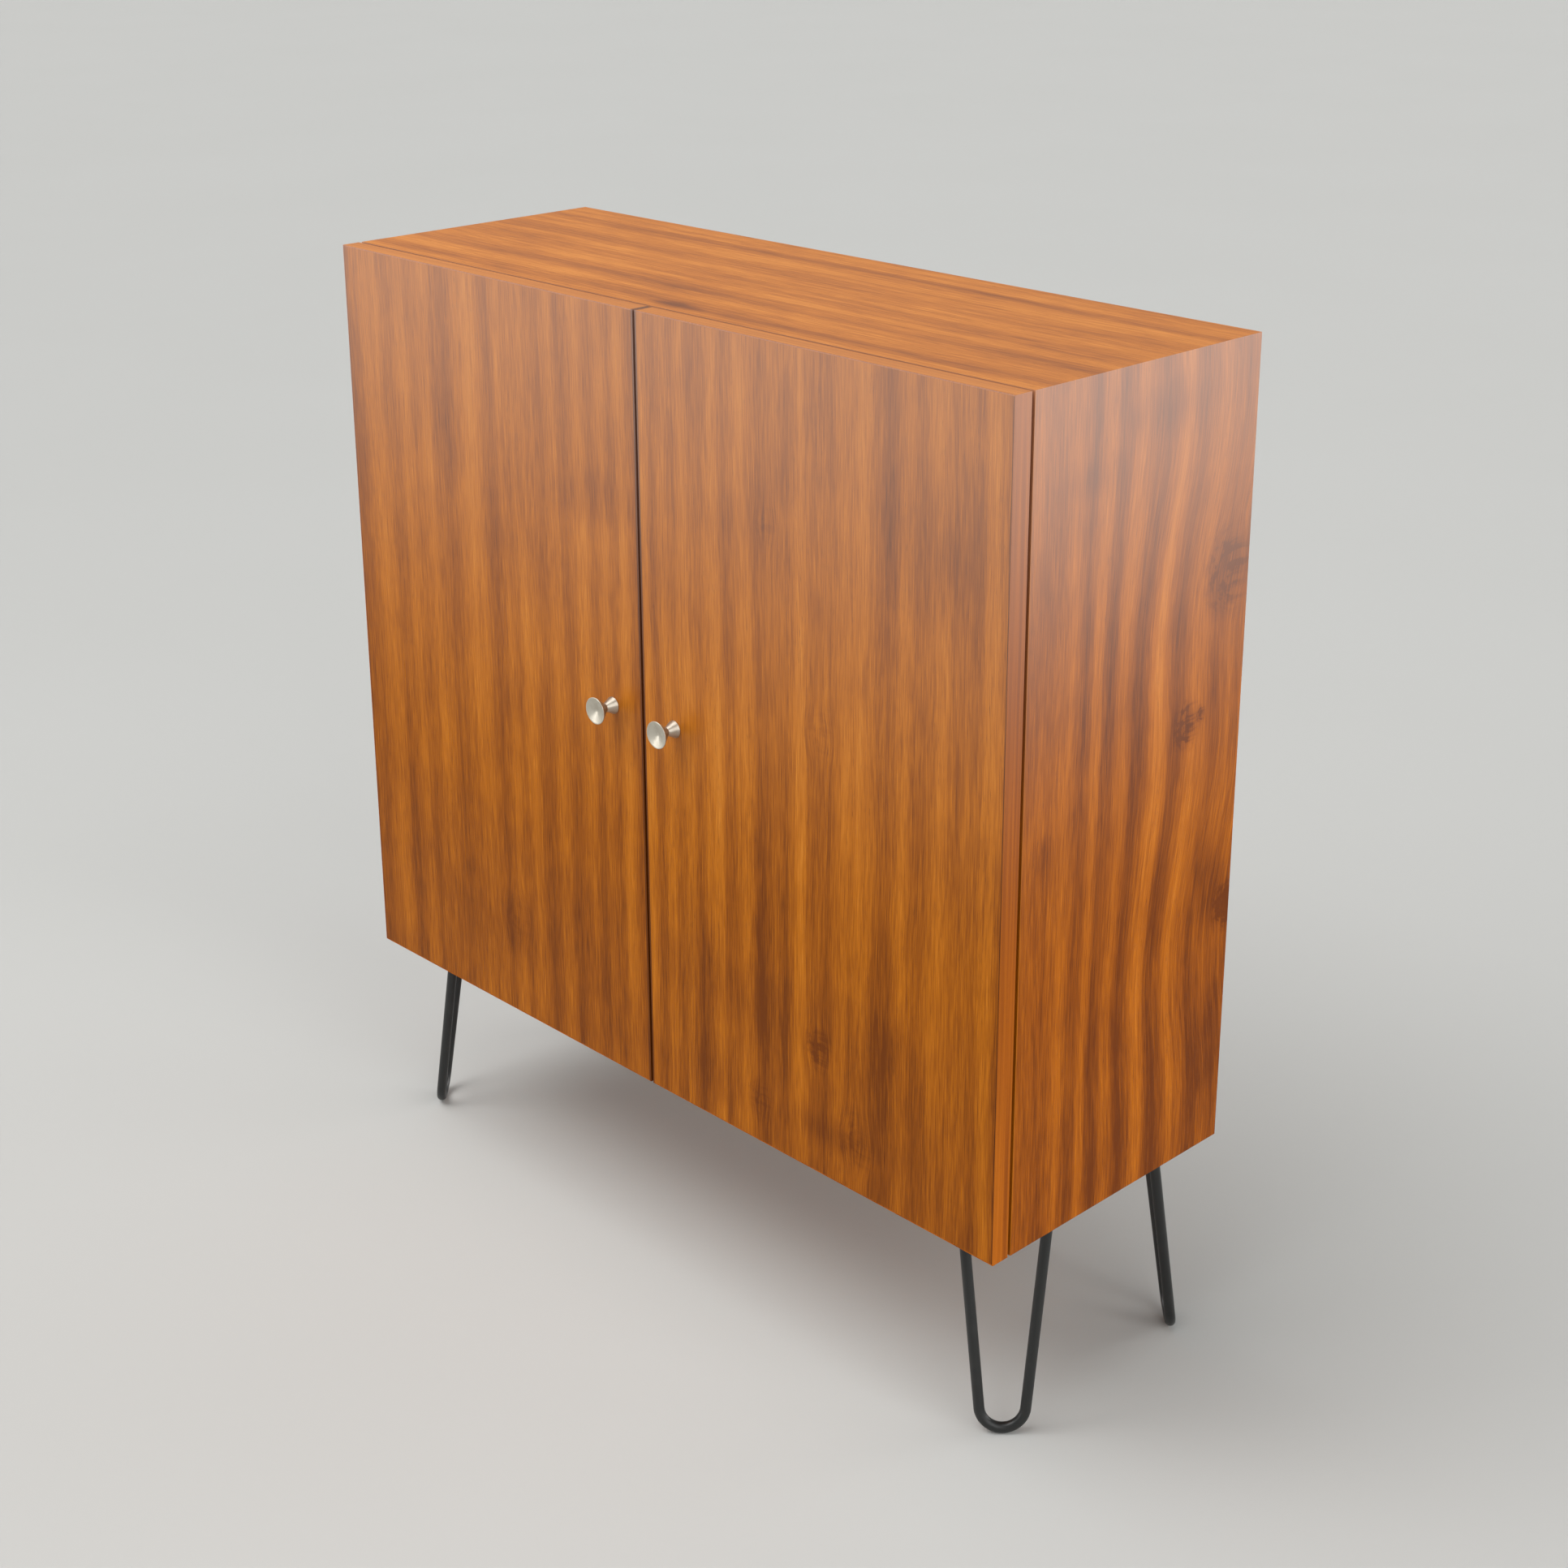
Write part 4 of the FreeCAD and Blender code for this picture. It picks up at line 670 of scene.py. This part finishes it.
def screwShape(points, lane, look):
    # Sizes come from the plain screw: its wider end is the head
    centre = (points.min(0) + points.max(0)) / 2
    away = np.delete(points - centre, lane, axis=1)
    spread = np.linalg.norm(away, axis=1)
    along = points[:, lane]
    ends = [spread[np.abs(along - end) < 1e-5].max() for end in (along.min(), along.max())]
    facing = 1 if ends[1] > ends[0] else -1
    tip, top = (along.min(), along.max()) if facing > 0 else (along.max(), along.min())
    seat = along[spread > spread.max() * 0.98].mean()
    length, head = abs(seat - tip), abs(top - seat)
    wide, shank = spread.max(), min(ends)
    angles = crossAngles(look)
    rings = [(0, 0.0003), (length * look["tip"], shank), (length, shank)]
    rings += [(length + head * up, wide * out) for up, out in look["dome"]]
    recess = [length + head, length + head * (1 - look["recess"])]
    reach = np.array([ring[0] for ring in rings] + recess)
    radius = np.repeat(np.array([[ring[1]] for ring in rings]), len(angles), axis=1)
    cross = crossOutline(angles, look)[None] * wide
    radius = np.vstack([radius, cross, cross * look["recessTaper"]])
    middle = centre.copy()
    middle[lane] = tip
    axis = np.zeros(3)
    axis[lane] = facing
    return turned(middle, axis, reach, radius, angles)


def crossHeads(node, lane, body, material):
    axis = "xyz".index(lane)
    parts = [screwShape(points, axis, screwLook) for points in screwsIn(node, axis)]
    newPiece(node.replace("_screw", "CrossHeadScrew"), parts, material, body, node, 40)
    return len(parts)


crossCount = 0
for node, lane in (("back_panel_screws", "y"), ("hinge_plate_screws", "x"), ("hinge_arm_screws", "x"),
                   ("catch_screws", "z")):
    crossCount += crossHeads(node, lane, "carcass", metals["screwSteel"])
crossCount += crossHeads("leg_screws", "z", "carcass", legScrewBlack)
for side in doorSides:
    leaf = side + "_leaf"
    turnedKnob(side, knobLook, satinNickel(side + "Nickel", middleOf(side + "_knob")))
    crossCount += crossHeads(side + "_door_screws", "y", leaf, metals["screwSteel"])
    crossCount += crossHeads(side + "_knob_screw", "y", leaf, metals["screwSteel"])
print("knobs turned and", crossCount, "screws given cross heads")

# Floor, backdrop and light

studio = {
    "floor": colour(190, 190, 187), "floorReach": 30.0, "world": colour(226, 227, 228),
    "worldStrength": 0.42,
    # Soft wide lights: the direction that each comes from, strength, spread in degrees
    "wide": [((-0.22, -0.34, 1.0), 1.8, 50.0),
             ((-0.67, -0.74, 0.06), 1.2, 30.0),
             ((0.614, 0.789, 0.06), 2.7, 40.0),
             ((0.88, -0.15, 0.45), 1.2, 50.0)],
    # Near lamps: place, aim, side length, watts
    "lamps": [((-0.9, -1.5, 2.1), (0.0, -0.15, 0.9), 1.0, 12.0)],
}


def plainFloor(look):
    reach = look["floorReach"]
    mesh = bpy.data.meshes.new("floor")
    mesh.from_pydata([(-reach, -reach, 0), (reach, -reach, 0), (reach, reach, 0), (-reach, reach, 0)],
                     [], [(0, 1, 2, 3)])
    floor = bpy.data.objects.new("floor", mesh)
    scene.collection.objects.link(floor)
    shade = Shade("floorPaint")
    cloud = shade.noise(shade.x * 1.3, shade.y * 1.3, 0.0, 3.0)
    paint = shade.mix(cloud.fade(0.3, 0.7) * 0.12, look["floor"], colour(196, 196, 194))
    mesh.materials.append(shade.finish(Base_Color=paint, Roughness=1.0, Specular_IOR_Level=0.0))


def paleWorld(look):
    world = bpy.data.worlds.new("studioWorld")
    scene.world = world
    world.use_nodes = True
    back = world.node_tree.nodes["Background"]
    back.inputs["Color"].default_value = look["world"]
    back.inputs["Strength"].default_value = look["worldStrength"]
    path = world.node_tree.nodes.new("ShaderNodeLightPath")
    seen = world.node_tree.nodes.new("ShaderNodeBackground")
    seen.inputs["Color"].default_value = look["world"]
    seen.inputs["Strength"].default_value = 1.0
    either = world.node_tree.nodes.new("ShaderNodeMixShader")
    links = world.node_tree.links
    links.new(path.outputs["Is Camera Ray"], either.inputs[0])
    links.new(back.outputs[0], either.inputs[1])
    links.new(seen.outputs[0], either.inputs[2])
    links.new(either.outputs[0], world.node_tree.nodes["World Output"].inputs[0])


def hang(light, place, toward):
    lamp = bpy.data.objects.new(light.name, light)
    lamp.location = place
    lamp.rotation_euler = toward.to_track_quat("-Z", "Y").to_euler()
    lamp.visible_camera = False
    scene.collection.objects.link(lamp)


def softLamps(look):
    for number, (source, strength, spread) in enumerate(look["wide"]):
        wide = bpy.data.lights.new(f"wide{number}", "SUN")
        wide.energy = strength
        wide.angle = math.radians(spread)
        hang(wide, source, -Vector(source))
    for number, (place, aim, size, watts) in enumerate(look["lamps"]):
        light = bpy.data.lights.new(f"lamp{number}", "AREA")
        light.size = size
        light.energy = watts
        hang(light, place, Vector(aim) - Vector(place))


plainFloor(studio)
paleWorld(studio)
softLamps(studio)
print("floor and light set")

# Camera, at the photograph's angle

cameraLook = {
    "place": (1.6364, -1.5373, 1.4154), "turn": 46.129, "down": 19.301, "roll": -0.286,
    "lens": 57.32, "shiftUp": -0.095,
}


def photoCamera(look):
    data = bpy.data.cameras.new("camera")
    data.sensor_width = 36.0
    data.lens = look["lens"]
    data.shift_y = look["shiftUp"]
    camera = bpy.data.objects.new("camera", data)
    turn = Matrix.Rotation(math.radians(look["turn"]), 4, "Z")
    tip = Matrix.Rotation(math.radians(90 - look["down"]), 4, "X")
    roll = Matrix.Rotation(math.radians(look["roll"]), 4, "Z")
    camera.matrix_world = Matrix.Translation(look["place"]) @ turn @ tip @ roll
    scene.collection.objects.link(camera)
    scene.camera = camera


photoCamera(cameraLook)
scene.view_settings.view_transform = "Standard"

print("camera set")
